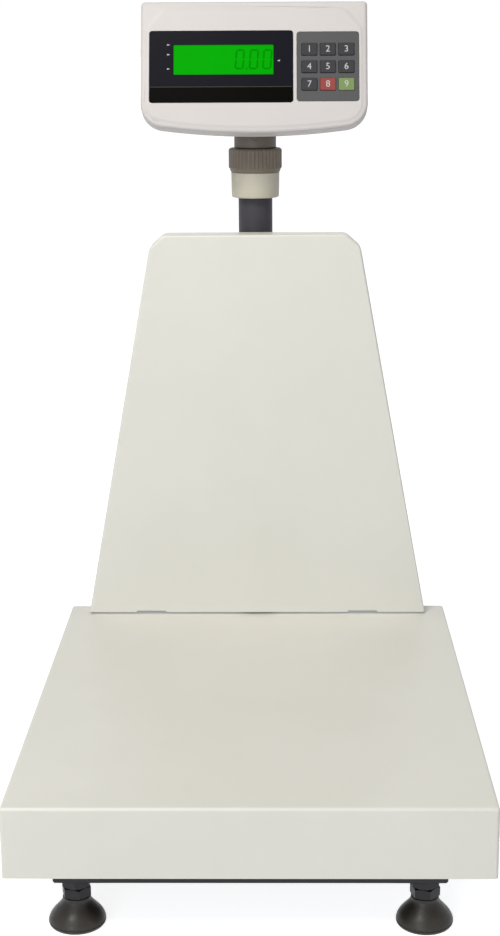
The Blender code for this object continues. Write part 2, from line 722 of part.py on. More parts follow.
def make_column_bracket(base):
    face = FRAME_DEPTH / 2 + FIT
    tail = COLUMN_Y + SOCKET_RADIUS + BRACKET_TAIL
    low, plate = FOOT_HEIGHT, BRACKET_PLATE
    fold = BRACKET_FOLD
    outline = [
        (face, low),
        (tail, low),
        (tail, low + plate),
    ]
    outline += arc((face + plate + fold, low + plate + fold), fold, 270, 180, 4)
    outline += [(face + plate, FRAME_TOP), (face, FRAME_TOP)]
    bracket = prism([outline], -BRACKET_WIDTH / 2, BRACKET_WIDTH / 2, "YZ")
    finish_part(bracket, "column_bracket", FRAME_PAINT, base)
    at = (0.0, COLUMN_Y, 0.0)
    join(bracket, rod(SOCKET_RADIUS, low + plate / 2, SOCKET_TOP, "Z", at, 32))
    gusset = [
        (-BRACKET_WIDTH / 2 + 0.002, SOCKET_BOTTOM - plate / 2),
        (BRACKET_WIDTH / 2 - 0.002, SOCKET_BOTTOM - plate / 2),
        (BRACKET_WIDTH / 2 - 0.002, SOCKET_BOTTOM + plate / 2),
        (COLUMN_RADIUS, SOCKET_BOTTOM + GUSSET_HEIGHT),
        (-COLUMN_RADIUS, SOCKET_BOTTOM + GUSSET_HEIGHT),
        (-BRACKET_WIDTH / 2 + 0.002, SOCKET_BOTTOM + plate / 2),
    ]
    join(bracket, prism([gusset], COLUMN_Y - plate / 2, COLUMN_Y + plate / 2, "XZ"))
    cut(bracket, rod(COLUMN_RADIUS + FIT, SOCKET_BOTTOM, SOCKET_TOP * 2, "Z", at, 32))
    bolt_z = SOCKET_TOP - SOCKET_WALL - BOLT_HEAD_ACROSS / 2
    cut(bracket, rod(BOLT_RADIUS + FIT, -COLUMN_Y, COLUMN_Y, "X", (0.0, COLUMN_Y, bolt_z), 16))
    for side in (-1, 1):
        x, z = bracket_bolt_place(side)
        cut(bracket, rod(BOLT_RADIUS + FIT, face - plate, face + 2 * plate, "Y", (x, 0.0, z), 16))
        head_start = face + plate + FIT
        head_end = head_start + BOLT_HEAD_HEIGHT
        bolt_end = FRAME_DEPTH / 2 - BRACKET_BOLT_REACH
        bolt = rod(BOLT_RADIUS, bolt_end, (head_start + head_end) / 2, "Y", sides=16)
        name = "bracket_bolt_" + ("left" if side < 0 else "right")
        finish_part(bolt, name, ZINC_STEEL, base, (x, 0.0, z))
        join(bolt, hexagon(BOLT_HEAD_ACROSS, head_start, head_end, "Y"))
    return bolt_z


def cross_bolt(name, half_grip, radius, across, head_height, parent, at):
    """A bolt across the column with its head on the left and its nut on the right."""
    reach = half_grip + FIT + head_height
    bolt = rod(radius, -reach + head_height / 2, reach + head_height / 2, "X", sides=16)
    finish_part(bolt, name, ZINC_STEEL, parent, at)
    for start in (-reach, half_grip + FIT):
        join(bolt, hexagon(across, start, start + head_height, "X"))
    return bolt


def make_column(mast, bolt_z):
    outer, inner = COLUMN_RADIUS, COLUMN_RADIUS - COLUMN_WALL
    low = SOCKET_BOTTOM + FIT
    top = SKIRT_TOP - SKIRT_LEDGE - FIT
    profile = [(outer, top), (outer, low), (inner, low), (inner, top)]
    column = turned(profile, 36, bore=True)
    finish_part(column, "column", COLUMN_PAINT, mast)
    cut(column, rod(BOLT_RADIUS + FIT, -COLUMN_Y, COLUMN_Y, "X", (0.0, 0.0, bolt_z), 16))
    cable_z = SOCKET_TOP + CABLE_HOLE_ABOVE_SOCKET
    cut(column, rod(CABLE_HOLE_RADIUS, -2 * outer, 0.0, "Y", (0.0, 0.0, cable_z), 16))
    cross_bolt(
        "column_bolt", SOCKET_RADIUS, BOLT_RADIUS, BOLT_HEAD_ACROSS, BOLT_HEAD_HEIGHT,
        mast, (0.0, 0.0, bolt_z),
    )
    return column


def shield_outline():
    """The shield's front face, anticlockwise from its lower left corner, with a notch each side."""
    bottom, shoulder, top = (
        SHIELD_BOTTOM_WIDTH / 2, SHIELD_SHOULDER_WIDTH / 2, SHIELD_TOP_WIDTH / 2,
    )
    shoulder_z = SHIELD_TOP - SHIELD_SHOULDER_DROP
    lower = [(-bottom, SHIELD_BOTTOM)]
    for side in (-1, 1):
        left = side * NOTCH_OFFSET - NOTCH_WIDTH / 2
        right = left + NOTCH_WIDTH
        notch_z = SHIELD_BOTTOM + NOTCH_DEPTH
        lower += [(left, SHIELD_BOTTOM), (left, notch_z), (right, notch_z), (right, SHIELD_BOTTOM)]
    lower.append((bottom, SHIELD_BOTTOM))
    right = fillet((bottom, SHIELD_BOTTOM), (shoulder, shoulder_z), (top, SHIELD_TOP))
    right += fillet((shoulder, shoulder_z), (top, SHIELD_TOP), (-top, SHIELD_TOP))
    left = [(-x, z) for x, z in reversed(right)]
    return lower, right + left


def fillet(before, corner, after, radius=SHIELD_CORNER_RADIUS, steps=3):
    """Points of an arc that rounds a corner between two straight runs."""
    corner = Vector(corner)
    back = (Vector(before) - corner).normalized()
    on = (Vector(after) - corner).normalized()
    half = back.angle(on) / 2
    reach = radius / sin(half)
    centre = corner + (back + on).normalized() * reach
    start = corner + back * (reach * cos(half)) - centre
    end = corner + on * (reach * cos(half)) - centre
    sweep = start.angle_signed(end)
    points = []
    for i in range(steps + 1):
        turn = Matrix.Rotation(-sweep * i / steps, 2)
        point = centre + turn @ start
        points.append((point.x, point.y))
    return points


def make_shield(base):
    lower, upper = shield_outline()
    bm = bmesh.new()
    front = [bm.verts.new((x, SHIELD_Y, z)) for x, z in lower + upper]
    bm.faces.new(front)
    folded = front[len(lower) - 1:] + front[:1]
    back = [bm.verts.new(v.co + Vector((0.0, SHIELD_FLANGE, 0.0))) for v in folded]
    for i in range(len(folded) - 1):
        bm.faces.new((folded[i], folded[i + 1], back[i + 1], back[i]))
    bmesh.ops.recalc_face_normals(bm, faces=bm.faces)
    if sum(face.normal.y for face in bm.faces) > 0:
        bmesh.ops.reverse_faces(bm, faces=bm.faces)
    mesh = bpy.data.meshes.new("shield")
    bm.to_mesh(mesh)
    bm.free()
    shield = bpy.data.objects.new("shield", mesh)
    PARTS.objects.link(shield)
    finish_part(shield, "shield", CREAM_PAINT, base)
    bevel(shield, SHIELD_FOLD, 2, 50.0)
    sheet = shield.modifiers.new("sheet", "SOLIDIFY")
    sheet.thickness = SHIELD_SHEET
    sheet.offset = -1.0
    sheet.use_even_offset = True
    smooth(shield)
    return shield


def make_shield_clamps(mast):
    """Saddles that pass behind the column, with their feet on the back of the shield."""
    front = SHIELD_Y - COLUMN_Y + SHIELD_SHEET + FIT
    inner = COLUMN_RADIUS + FIT
    outer = inner + CLAMP_STRIP
    foot = outer + CLAMP_FOOT
    outline = [(-foot, front), (-inner, front)]
    outline += arc((0.0, 0.0), inner, 180, 0, 14)
    outline += [(inner, front), (foot, front), (foot, front + CLAMP_STRIP)]
    outline += [(outer, front + CLAMP_STRIP)]
    outline += arc((0.0, 0.0), outer, 0, 180, 14)
    outline += [(-outer, front + CLAMP_STRIP), (-foot, front + CLAMP_STRIP)]
    bolt_y = (front + CLAMP_STRIP - COLUMN_RADIUS) / 2
    for name, z in (("lower", CLAMP_LOW), ("upper", CLAMP_LOW + CLAMP_SPACING)):
        low = SHIELD_BOTTOM + z
        clamp = prism([outline], low, low + CLAMP_HEIGHT)
        finish_part(clamp, "shield_clamp_" + name, ZINC_STEEL, mast)
        at = (0.0, bolt_y, low + CLAMP_HEIGHT / 2)
        cut(clamp, rod(CLAMP_BOLT_RADIUS + FIT, -2 * foot, 2 * foot, "X", at, 16))
        cross_bolt(
            "shield_bolt_" + name, outer, CLAMP_BOLT_RADIUS, CLAMP_BOLT_HEAD_ACROSS,
            CLAMP_BOLT_HEAD_HEIGHT, mast, at,
        )


def make_column_head(mast):
    """The plastic socket on the column's top, its knurled locking collar and the swivel neck."""
    bore = COLUMN_RADIUS + FIT
    stem_hole = STEM_RADIUS + FIT
    spigot = stem_hole + SPIGOT_WALL
    ledge = SKIRT_TOP - SKIRT_LEDGE
    spigot_top = COLLAR_TOP - COLLAR_WEB - FIT
    skirt = SKIRT_RADIUS
    socket = turned(
        [
            (spigot - 0.0008, spigot_top),
            (spigot, spigot_top - 0.0008),
            (spigot, SKIRT_TOP),
            (skirt - 0.0005, SKIRT_TOP),
            (skirt, SKIRT_TOP - 0.0005),
            (skirt - 0.0006, SKIRT_BOTTOM + 0.0010),
            (skirt - 0.0014, SKIRT_BOTTOM),
            (bore, SKIRT_BOTTOM),
            (bore, ledge),
            (stem_hole, ledge),
            (stem_hole, spigot_top),
        ],
        40,
        bore=True,
    )
    finish_part(socket, "column_socket", BEIGE_PLASTIC, mast)
    slot = SPIGOT_SLOT / 2
    slot_floor = SKIRT_TOP + SPIGOT_SLOT
    for i in range(SPIGOT_SLOTS // 2):
        cutter = block((-skirt, -slot, slot_floor), (skirt, slot, COLLAR_TOP))
        cutter.data.transform(Matrix.Rotation(pi * (i + 0.5) / (SPIGOT_SLOTS // 2), 4, "Z"))
        cut(socket, cutter)

    ridged = []
    for i in range(COLLAR_RIDGES * 2):
        radius = COLLAR_RADIUS - COLLAR_RIDGE_DEPTH * (i % 2)
        turn = pi * i / COLLAR_RIDGES
        ridged.append((radius * cos(turn), radius * sin(turn)))
    collar = prism([ridged], COLLAR_BOTTOM, COLLAR_TOP)
    finish_part(collar, "locking_collar", BEIGE_PLASTIC, mast)
    waist = SKIRT_RADIUS + 0.0006
    envelope = turned(
        [
            (0.0, COLLAR_TOP),
            (COLLAR_RADIUS - 0.0016, COLLAR_TOP),
            (COLLAR_RADIUS + 0.0001, COLLAR_TOP - 0.0016),
            (COLLAR_RADIUS + 0.0001, COLLAR_BOTTOM + COLLAR_TAPER),
            (waist, COLLAR_BOTTOM),
            (0.0, COLLAR_BOTTOM),
        ],
        COLLAR_RIDGES * 2,
    )
    combine(collar, envelope, "INTERSECT")
    thread = spigot + FIT
    cut(collar, rod(thread, SKIRT_TOP - 0.01, COLLAR_TOP - COLLAR_WEB, sides=40))
    cut(collar, rod(stem_hole, SKIRT_TOP, COLLAR_TOP + 0.01, sides=32))


def make_neck(swivel):
    """Stem, round neck, web and the barrel that the tilt pin passes through."""
    stem_bottom = COLLAR_TOP - COLLAR_WEB - STEM_REACH
    neck_top = NECK_BOTTOM + NECK_HEIGHT
    neck = turned(
        [
            (0.0, neck_top),
            (NECK_RADIUS - 0.0012, neck_top),
            (NECK_RADIUS, neck_top - 0.0012),
            (NECK_RADIUS, NECK_BOTTOM + 0.0006),
            (NECK_RADIUS - 0.0006, NECK_BOTTOM),
            (STEM_RADIUS, NECK_BOTTOM),
            (STEM_RADIUS, stem_bottom),
            (0.0, stem_bottom),
        ],
        40,
    )
    finish_part(neck, "swivel_neck", NECK_PLASTIC, swivel)
    half = HINGE_RECESS_WIDTH / 2 - FIT
    web = KNUCKLE_WEB / 2
    pin = PIN_HEIGHT
    join(neck, rod(KNUCKLE_RADIUS, -half, half, "X", (0.0, 0.0, pin), 28))
    web_x = NECK_RADIUS - 0.004
    join(neck, block((-web_x, -web, neck_top - 0.003), (web_x, web, pin)))
    cut(neck, rod(PIN_RADIUS + FIT, -NECK_RADIUS * 2, NECK_RADIUS * 2, "X", (0.0, 0.0, pin), 20))
    cut(neck, rod(STEM_BORE_RADIUS, stem_bottom - 0.01, neck_top, sides=16))
    exit_at = (0.0, 0.0, neck_top)
    cut(neck, rod(STEM_BORE_RADIUS, -NECK_RADIUS * 2, 0.0, "Y", exit_at, 16))
    reach = HINGE_RECESS_WIDTH / 2 + HINGE_WALL + PIN_BOSS_LENGTH
    tilt_pin = rod(PIN_RADIUS, -reach, reach, "X", sides=20)
    finish_part(tilt_pin, "tilt_pin", ZINC_STEEL, swivel, (0.0, 0.0, pin))


def bowed_outline(half, low, high, top_radius, bottom_radius, bow, bow_steps=8):
    """A housing's outline: square-shouldered on top, with large lower corners and a bowed lower edge."""
    slope = atan2(2 * bow, half - bottom_radius)
    bow_half = half - bottom_radius * (1 - sin(slope))
    steps = [2 * i / bow_steps - 1 for i in range(1, bow_steps)]
    floor = [(bow_half * t, low + bow * t * t) for t in steps]
    centre = (half - bottom_radius, low + bow + bottom_radius * cos(slope))
    slope_degrees = slope * 180 / pi
    right = arc(centre, bottom_radius, slope_degrees - 90, 0, 6)
    right += arc((half - top_radius, high - top_radius), top_radius, 0, 90, 3)
    left = [(-x, z) for x, z in reversed(right)]
    return floor + right + left


FACE_Y = -FACE_TO_PIN
BEZEL_Y = FACE_Y + FIELD_HEIGHT
FACE_INNER_Y = FACE_Y + FACE_WALL
PARTING_Y = BEZEL_Y + FRONT_DEPTH
CENTRE_Z = FACE_CENTRE_ABOVE_PIN
HEAD_LOW = CENTRE_Z - HEAD_BELOW_CENTRE
HEAD_HIGH = CENTRE_Z + HEAD_ABOVE_CENTRE


def head_outline(inset):
    return bowed_outline(
        HEAD_WIDTH / 2 - inset,
        HEAD_LOW + inset,
        HEAD_HIGH - inset,
        max(HEAD_TOP_RADIUS - inset, 0.001),
        HEAD_BOTTOM_RADIUS - inset,
        HEAD_BOW,
    )


def overlay_outline(x, up, width, height, shrink, radius):
    z = CENTRE_Z + up
    w, h = width / 2 - shrink, height / 2 - shrink
    return rounded_rectangle(x - w, z - h, x + w, z + h, radius)


def board_boss_places():
    x = BOARD_WIDTH / 2 - BOARD_BOSS_INSET
    low = CENTRE_Z - BOARD_BELOW_CENTRE + BOARD_BOSS_INSET
    high = CENTRE_Z + BOARD_ABOVE_CENTRE - BOARD_BOSS_INSET
    return [(-x, low), (x, low), (-x, high), (x, high)]


def make_front_shell(head):
    shell = prism([head_outline(0.0)], BEZEL_Y, PARTING_Y, "XZ")
    finish_part(shell, "head_front_shell", SHELL_PLASTIC, head)
    rear_face = [v for v in shell.data.vertices if v.co.y > (BEZEL_Y + PARTING_Y) / 2]
    for vertex in rear_face:
        vertex.co.y += FRONT_EDGE
    bevel(shell, FRONT_EDGE, 2, 60.0)
    behind = block((-1.0, PARTING_Y, -1.0), (1.0, 1.0, 1.0))
    cut(shell, behind)
    field = prism([field_outline()], FACE_Y, BEZEL_Y + FACE_WALL / 2, "XZ")
    join(shell, field)
    cut(shell, prism([head_outline(HEAD_WALL)], FACE_INNER_Y, 0.0, "XZ"))
    for x, z in board_boss_places():
        boss_end = FACE_INNER_Y + BOARD_DEPTH - PCB_SHEET - FIT
        join(shell, rod(BOARD_BOSS_RADIUS, FACE_INNER_Y - FACE_WALL / 2, boss_end, "Y", (x, 0.0, z), 14))
    recess_floor = FACE_Y + OVERLAY_RECESS
    for x, up, w, h in (
        (DISPLAY_X, DISPLAY_UP, DISPLAY_WIDTH, DISPLAY_HEIGHT),
        (KEYPAD_X, KEYPAD_UP, KEYPAD_WIDTH, KEYPAD_HEIGHT),
    ):
        cut(shell, prism([overlay_outline(x, up, w, h, 0.0, 0.0022)], -1.0, recess_floor, "XZ"))
    opening = overlay_outline(GLASS_X, GLASS_UP, GLASS_WIDTH, GLASS_HEIGHT, -GLASS_MARGIN, 0.001)
    cut(shell, prism([opening], -1.0, 0.0, "XZ"))
    window = overlay_outline(KEYPAD_X, KEYPAD_UP, KEYPAD_WIDTH, KEYPAD_HEIGHT, KEYPAD_LEDGE, 0.001)
    cut(shell, prism([window], -1.0, 0.0, "XZ"))
    return shell


def field_outline():
    """The face's raised field, with wide upper corners."""
    half = HEAD_WIDTH / 2 - FIELD_MARGIN
    low, high = HEAD_LOW + FIELD_MARGIN, HEAD_HIGH - FIELD_MARGIN - 0.003
    return bowed_outline(half, low, high, FIELD_RADIUS, HEAD_BOTTOM_RADIUS - FIELD_MARGIN, HEAD_BOW)


def rear_sections(inset, start):
    """The rear shell's two sections: the parting outline and the smaller rear face."""
    front = head_outline(0.0006 + inset)
    back = bowed_outline(
        REAR_WIDTH / 2 - inset,
        -REAR_BELOW_PIN + inset,
        REAR_ABOVE_PIN - inset,
        REAR_RADIUS - inset,
        REAR_RADIUS - inset,
        HEAD_BOW / 2,
    )
    return [(start, front), (REAR_REACH - inset, back)]


def loft(sections):
    """A capped loft between outlines with equal counts of points, each at its own depth."""
    bm = bmesh.new()
    rings = [[bm.verts.new((x, y, z)) for x, z in outline] for y, outline in sections]
    count = len(rings[0])
    for near, far in zip(rings, rings[1:]):
        for i in range(count):
            j = (i + 1) % count
            bm.faces.new((near[i], near[j], far[j], far[i]))
    bm.faces.new(rings[0])
    bm.faces.new(rings[-1])
    return smooth(object_from(bm), 25.0)


def make_rear_shell(head):
    parting = PARTING_Y + FIT
    shell = loft(rear_sections(0.0, parting))
    finish_part(shell, "head_rear_shell", SHELL_PLASTIC, head)
    hollow = rear_sections(HEAD_WALL, parting)
    mouth = (PARTING_Y - HEAD_WALL, hollow[0][1])
    cut(shell, loft([mouth] + hollow))
    half = HINGE_RECESS_WIDTH / 2
    wall = HINGE_WALL
    housing = block(
        (-half - wall, -HINGE_RECESS_FRONT - wall, HEAD_LOW - 0.01),
        (half + wall, REAR_REACH, HINGE_RECESS_TOP + wall),
    )
    housing.parent = head
    combine(housing, loft(rear_sections(0.0002, parting)), "INTERSECT")
    join(shell, housing)
    for side in (-1, 1):
        ends = sorted((side * half, side * (half + wall + PIN_BOSS_LENGTH)))
        join(shell, rod(PIN_BOSS_RADIUS, ends[0], ends[1], "X", sides=20))
    recess = block(
        (-half, -HINGE_RECESS_FRONT, HEAD_LOW - 0.02),
        (half, REAR_REACH + 0.02, HINGE_RECESS_TOP),
    )
    cut(shell, recess)
    cut(shell, rod(PIN_RADIUS + FIT, -2 * half, 2 * half, "X", sides=20))
    sx, sz = SWITCH_SIZE[0] / 2 + FIT, SWITCH_SIZE[2] / 2 + FIT
    z = SWITCH_ABOVE_PIN
    cut(shell, block((SWITCH_X - sx, 0.0, z - sz), (SWITCH_X + sx, REAR_REACH * 2, z + sz)))
    at = (CHARGER_X, 0.0, z)
    cut(shell, rod(CHARGER_RADIUS + FIT, 0.0, REAR_REACH * 2, "Y", at, 20))
    return shell


def make_display(head):
    recess_floor = FACE_Y + OVERLAY_RECESS
    front = recess_floor - FIT - OVERLAY_SHEET
    outline = overlay_outline(DISPLAY_X, DISPLAY_UP, DISPLAY_WIDTH, DISPLAY_HEIGHT, FIT, 0.002)
    window = prism([outline], front, front + OVERLAY_SHEET, "XZ")
    finish_part(window, "display_window", DISPLAY_BLACK, head)
    w, h = GLASS_WIDTH / 2 + MODULE_BORDER, GLASS_HEIGHT / 2 + MODULE_BORDER
    z = CENTRE_Z + GLASS_UP
    module_front = FACE_INNER_Y + FIT
    module_back = FACE_INNER_Y + BOARD_DEPTH - PCB_SHEET - FIT
    module = block((GLASS_X - w, module_front, z - h), (GLASS_X + w, module_back, z + h))
    finish_part(module, "lcd_module", LCD_GREEN, head)
    board_front = FACE_INNER_Y + BOARD_DEPTH - PCB_SHEET
    low, high = CENTRE_Z - BOARD_BELOW_CENTRE, CENTRE_Z + BOARD_ABOVE_CENTRE
    half = BOARD_WIDTH / 2
    board = block((-half, board_front, low), (half, board_front + PCB_SHEET, high))
    finish_part(board, "main_board", PCB_GREEN, head)


def key_places():
    for row in range(3):
        for column in range(3):
            x = KEYPAD_X + (column - 1) * KEY_PITCH_X
            z = CENTRE_Z + KEY_GRID_UP + (1 - row) * KEY_PITCH_UP
            yield row * 3 + column + 1, x, z


def make_keypad(head):
    recess_floor = FACE_Y + OVERLAY_RECESS
    back = recess_floor - FIT
    front = back - OVERLAY_SHEET
    outline = overlay_outline(KEYPAD_X, KEYPAD_UP, KEYPAD_WIDTH, KEYPAD_HEIGHT, FIT, 0.002)
    holes = []
    for _, x, z in key_places():
        w, h = KEY_WIDTH / 2 + FIT, KEY_HEIGHT / 2 + FIT
        holes.append(rounded_rectangle(x - w, z - h, x + w, z + h, 0.001, 2))
    panel = prism([outline] + holes, front, back, "XZ")
    finish_part(panel, "keypad_panel", KEYPAD_GREY, head)

    rim_front = back + FIT
    rim_back = rim_front + KEY_RIM_THICKNESS
    for number, x, z in key_places():
        key = empty("key_" + str(number) + "_axis", (x, 0.0, z), head)
        w, h = KEY_WIDTH / 2, KEY_HEIGHT / 2
        cap = prism([rounded_rectangle(-w, -h, w, h, 0.001, 2)], FACE_Y - KEY_PROUD, rim_back, "XZ")
        paint = {8: KEY_RED, 9: KEY_GREEN}.get(number, KEY_GREY)
        finish_part(cap, "key_" + str(number), paint, key)
        rim = KEY_RIM
        join(cap, block((-w - rim, rim_front, -h - rim), (w + rim, rim_back, h + rim)))

    w = KEYPAD_WIDTH / 2 - FIT
    h = KEYPAD_HEIGHT / 2 - FIT
    z = CENTRE_Z + KEYPAD_UP
    board_front = FACE_INNER_Y + FIT
    board = block(
        (KEYPAD_X - w, board_front, z - h), (KEYPAD_X + w, board_front + PCB_SHEET, z + h)
    )
    finish_part(board, "keypad_board", PCB_GREEN, head)


def make_power_parts(head):
    rear_wall = REAR_REACH - HEAD_WALL
    size = Vector((BATTERY_WIDTH, BATTERY_DEPTH, BATTERY_HEIGHT))
    low = HINGE_RECESS_TOP + HINGE_WALL + FIT
    back = rear_wall - FIT
    battery = block((-size.x / 2, back - size.y, low), (size.x / 2, back, low + size.z))
    finish_part(battery, "battery", BATTERY_BLACK, head)

    sx, sz = SWITCH_SIZE[0] / 2, SWITCH_SIZE[2] / 2
    depth = SWITCH_SIZE[1]
    seat = REAR_REACH + FIT
    z = SWITCH_ABOVE_PIN
    at = Vector((SWITCH_X, 0.0, z))
    frame = block((-sx, seat - depth, -sz), (sx, seat + SWITCH_FLANGE / 2, sz))
    finish_part(frame, "power_switch_frame", SWITCH_BLACK, head, at)
    margin = SWITCH_FLANGE_MARGIN
    flange = block((-sx - margin, seat, -sz - margin), (sx + margin, seat + SWITCH_FLANGE, sz + margin))
    rocker_x, rocker_z = ROCKER_SIZE[0] / 2, ROCKER_SIZE[1] / 2
    pivot_y = seat + SWITCH_FLANGE - ROCKER_DEPTH + ROCKER_PROUD + 0.002
    swing = radians(ROCKER_ANGLE)
    side_room = ROCKER_DEPTH * sin(swing) + FIT
    back_room = rocker_z * sin(swing) + 0.002 + FIT
    pocket = block(
        (-rocker_x - FIT, pivot_y - back_room, -rocker_z - side_room),
        (rocker_x + FIT, REAR_REACH * 3, rocker_z + side_room),
    )
    join(frame, flange)
    cut(frame, pocket)

    axis = empty("power_rocker_axis", at + Vector((0.0, pivot_y, 0.0)), head, swing)
    crown = ROCKER_DEPTH - 0.002
    outline = [(-0.002, -rocker_z), (crown, -rocker_z), (crown - 0.0012, 0.0), (crown, rocker_z)]
    outline += [(-0.002, rocker_z)]
    rocker = prism([outline], -rocker_x, rocker_x, "YZ")
    finish_part(rocker, "power_rocker", SWITCH_BLACK, axis)

    jack_floor = seat - CHARGER_LENGTH / 2
    front = seat + SWITCH_FLANGE
    socket = turned(
        [
            (0.0, front - 0.001),
            (CHARGER_PIN_RADIUS, front - 0.001),
            (CHARGER_PIN_RADIUS, jack_floor),
            (CHARGER_JACK_RADIUS, jack_floor),
            (CHARGER_JACK_RADIUS, front),
            (CHARGER_FLANGE_RADIUS, front),
            (CHARGER_FLANGE_RADIUS, seat),
            (CHARGER_RADIUS, seat),
            (CHARGER_RADIUS, seat - CHARGER_LENGTH),
            (0.0, seat - CHARGER_LENGTH),
        ],
        20,
    )
    socket.data.transform(AXIS_TURN["Y"])
    finish_part(socket, "charger_socket", SWITCH_BLACK, head, (CHARGER_X, 0.0, z))


def make_scale():
    base = empty("base_origin", (0.0, PLATTER_Y, 0.0))
    platform = empty("platter_slide", (0.0, 0.0, 0.0), base)
    mast = empty("column_axis", (0.0, COLUMN_Y, 0.0), base)
    swivel = empty("swivel_axis", (0.0, 0.0, 0.0), mast)
    head = empty("tilt_axis", (0.0, 0.0, PIN_HEIGHT), swivel, -TILT)
    make_base_frame(base)
    make_feet(base)
    make_load_cell(base)
    make_overload_stops(base)
    make_weigh_platform(platform)
    bolt_z = make_column_bracket(base)
    make_column(mast, bolt_z)
    make_shield(base)
    make_shield_clamps(mast)
    make_column_head(mast)
    make_neck(swivel)
    make_front_shell(head)
    make_rear_shell(head)
    make_display(head)
    make_keypad(head)
    make_power_parts(head)


make_scale()
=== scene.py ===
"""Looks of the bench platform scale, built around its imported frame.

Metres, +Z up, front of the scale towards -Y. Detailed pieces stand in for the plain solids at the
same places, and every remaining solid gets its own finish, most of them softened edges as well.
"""
import json
from math import atan2, cos, pi, radians, sin, sqrt, tan

import bmesh
import bpy
from mathutils import Matrix, Vector


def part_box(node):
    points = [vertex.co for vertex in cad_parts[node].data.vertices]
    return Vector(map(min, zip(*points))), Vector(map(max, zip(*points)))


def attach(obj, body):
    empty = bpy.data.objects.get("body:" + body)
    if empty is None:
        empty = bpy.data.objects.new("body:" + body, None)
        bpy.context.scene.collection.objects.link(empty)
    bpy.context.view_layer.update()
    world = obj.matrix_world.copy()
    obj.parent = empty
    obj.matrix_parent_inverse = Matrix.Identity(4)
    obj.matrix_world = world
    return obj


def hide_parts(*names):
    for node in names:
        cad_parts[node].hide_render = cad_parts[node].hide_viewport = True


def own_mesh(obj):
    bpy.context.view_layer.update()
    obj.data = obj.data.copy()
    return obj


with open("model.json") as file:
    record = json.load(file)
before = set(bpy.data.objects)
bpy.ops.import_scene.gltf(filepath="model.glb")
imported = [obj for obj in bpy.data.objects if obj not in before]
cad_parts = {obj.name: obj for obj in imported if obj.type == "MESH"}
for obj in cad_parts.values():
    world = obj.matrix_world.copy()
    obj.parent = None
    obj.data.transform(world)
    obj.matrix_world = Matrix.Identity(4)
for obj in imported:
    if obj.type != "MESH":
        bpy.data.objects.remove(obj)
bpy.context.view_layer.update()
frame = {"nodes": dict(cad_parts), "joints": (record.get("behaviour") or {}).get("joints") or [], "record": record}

JOINTS = {joint["name"]: joint for joint in frame["joints"]}
BODY_OF = {
    node: body for body, nodes in frame["record"]["behaviour"]["bodies"].items() for node in nodes
}
SLOT_OF = {part["node"]: part["material_slot"] for part in frame["record"]["subparts"]}
CORNERS = ("fl", "fr", "rl", "rr")

# Places read from the frame
PLATTER_LOW, PLATTER_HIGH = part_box("platter")
PLATTER_MIDDLE_Y = (PLATTER_LOW.y + PLATTER_HIGH.y) / 2
COLUMN_LOW, COLUMN_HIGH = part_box("column")
COLUMN_AT = Matrix.Translation(
    ((COLUMN_LOW.x + COLUMN_HIGH.x) / 2, (COLUMN_LOW.y + COLUMN_HIGH.y) / 2, 0.0)
)
SOCKET_LOW, SOCKET_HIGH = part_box("column_socket")
COLLAR_LOW, COLLAR_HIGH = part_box("locking_collar")
PIN = Vector(JOINTS["head_tilt"]["pos_m"])
PRESS = Vector(JOINTS["key_1_press"]["axis"])
HEAD = Matrix.Translation(PIN) @ Matrix.Rotation(atan2(PRESS.z, PRESS.y), 4, "X")

# Gap between pieces that sit together
FIT = 0.0003

# Camera, solved from the platter's, shield's and head's edges
CAMERA_FROM_PLATTER = Vector((0.02663, -1.49569, 0.59542))
CAMERA_YAW = 0.01186
CAMERA_PITCH = 0.24839
CAMERA_ROLL = -0.0050
CAMERA_LENS = 65.483
CAMERA_SHIFT = -0.01312


def make_camera():
    forward = Vector((
        -sin(CAMERA_YAW) * cos(CAMERA_PITCH), cos(CAMERA_YAW) * cos(CAMERA_PITCH), -sin(CAMERA_PITCH),
    ))
    level_right = Vector((cos(CAMERA_YAW), sin(CAMERA_YAW), 0.0))
    level_up = level_right.cross(forward)
    right = cos(CAMERA_ROLL) * level_right + sin(CAMERA_ROLL) * level_up
    up = -sin(CAMERA_ROLL) * level_right + cos(CAMERA_ROLL) * level_up
    data = bpy.data.cameras.new("camera")
    data.sensor_fit = "AUTO"
    data.sensor_width = 36.0
    data.lens = CAMERA_LENS
    data.shift_x = CAMERA_SHIFT
    data.clip_start = 0.05
    data.clip_end = 200.0
    camera = linked(data, "camera")
    turn = Matrix((right, up, -forward)).transposed().to_4x4()
    stand = Vector((0.0, PLATTER_MIDDLE_Y, PLATTER_HIGH.z)) + CAMERA_FROM_PLATTER
    camera.matrix_world = Matrix.Translation(stand) @ turn
    bpy.context.scene.camera = camera


# Materials

MATERIALS = {}


def node_of(tree, kind, **values):
    made = tree.nodes.new(kind)
    for name, value in values.items():
        setattr(made, name, value)
    return made


def noise(tree, coordinates, scale, detail, roughness=0.5, stretch=None):
    made = node_of(tree, "ShaderNodeTexNoise")
    made.inputs["Scale"].default_value = scale
    made.inputs["Detail"].default_value = detail
    made.inputs["Roughness"].default_value = roughness
    source = coordinates
    if stretch:
        mapping = node_of(tree, "ShaderNodeMapping")
        mapping.inputs["Scale"].default_value = stretch
        tree.links.new(coordinates, mapping.inputs["Vector"])
        source = mapping.outputs["Vector"]
    tree.links.new(source, made.inputs["Vector"])
    return made.outputs["Fac"]


def spread(tree, value, low, high):
    """Maps a noise's middle range to low and high."""
    made = node_of(tree, "ShaderNodeMapRange")
    made.inputs["From Min"].default_value = 0.3
    made.inputs["From Max"].default_value = 0.7
    made.inputs["To Min"].default_value = low
    made.inputs["To Max"].default_value = high
    tree.links.new(value, made.inputs["Value"])
    return made.outputs["Result"]


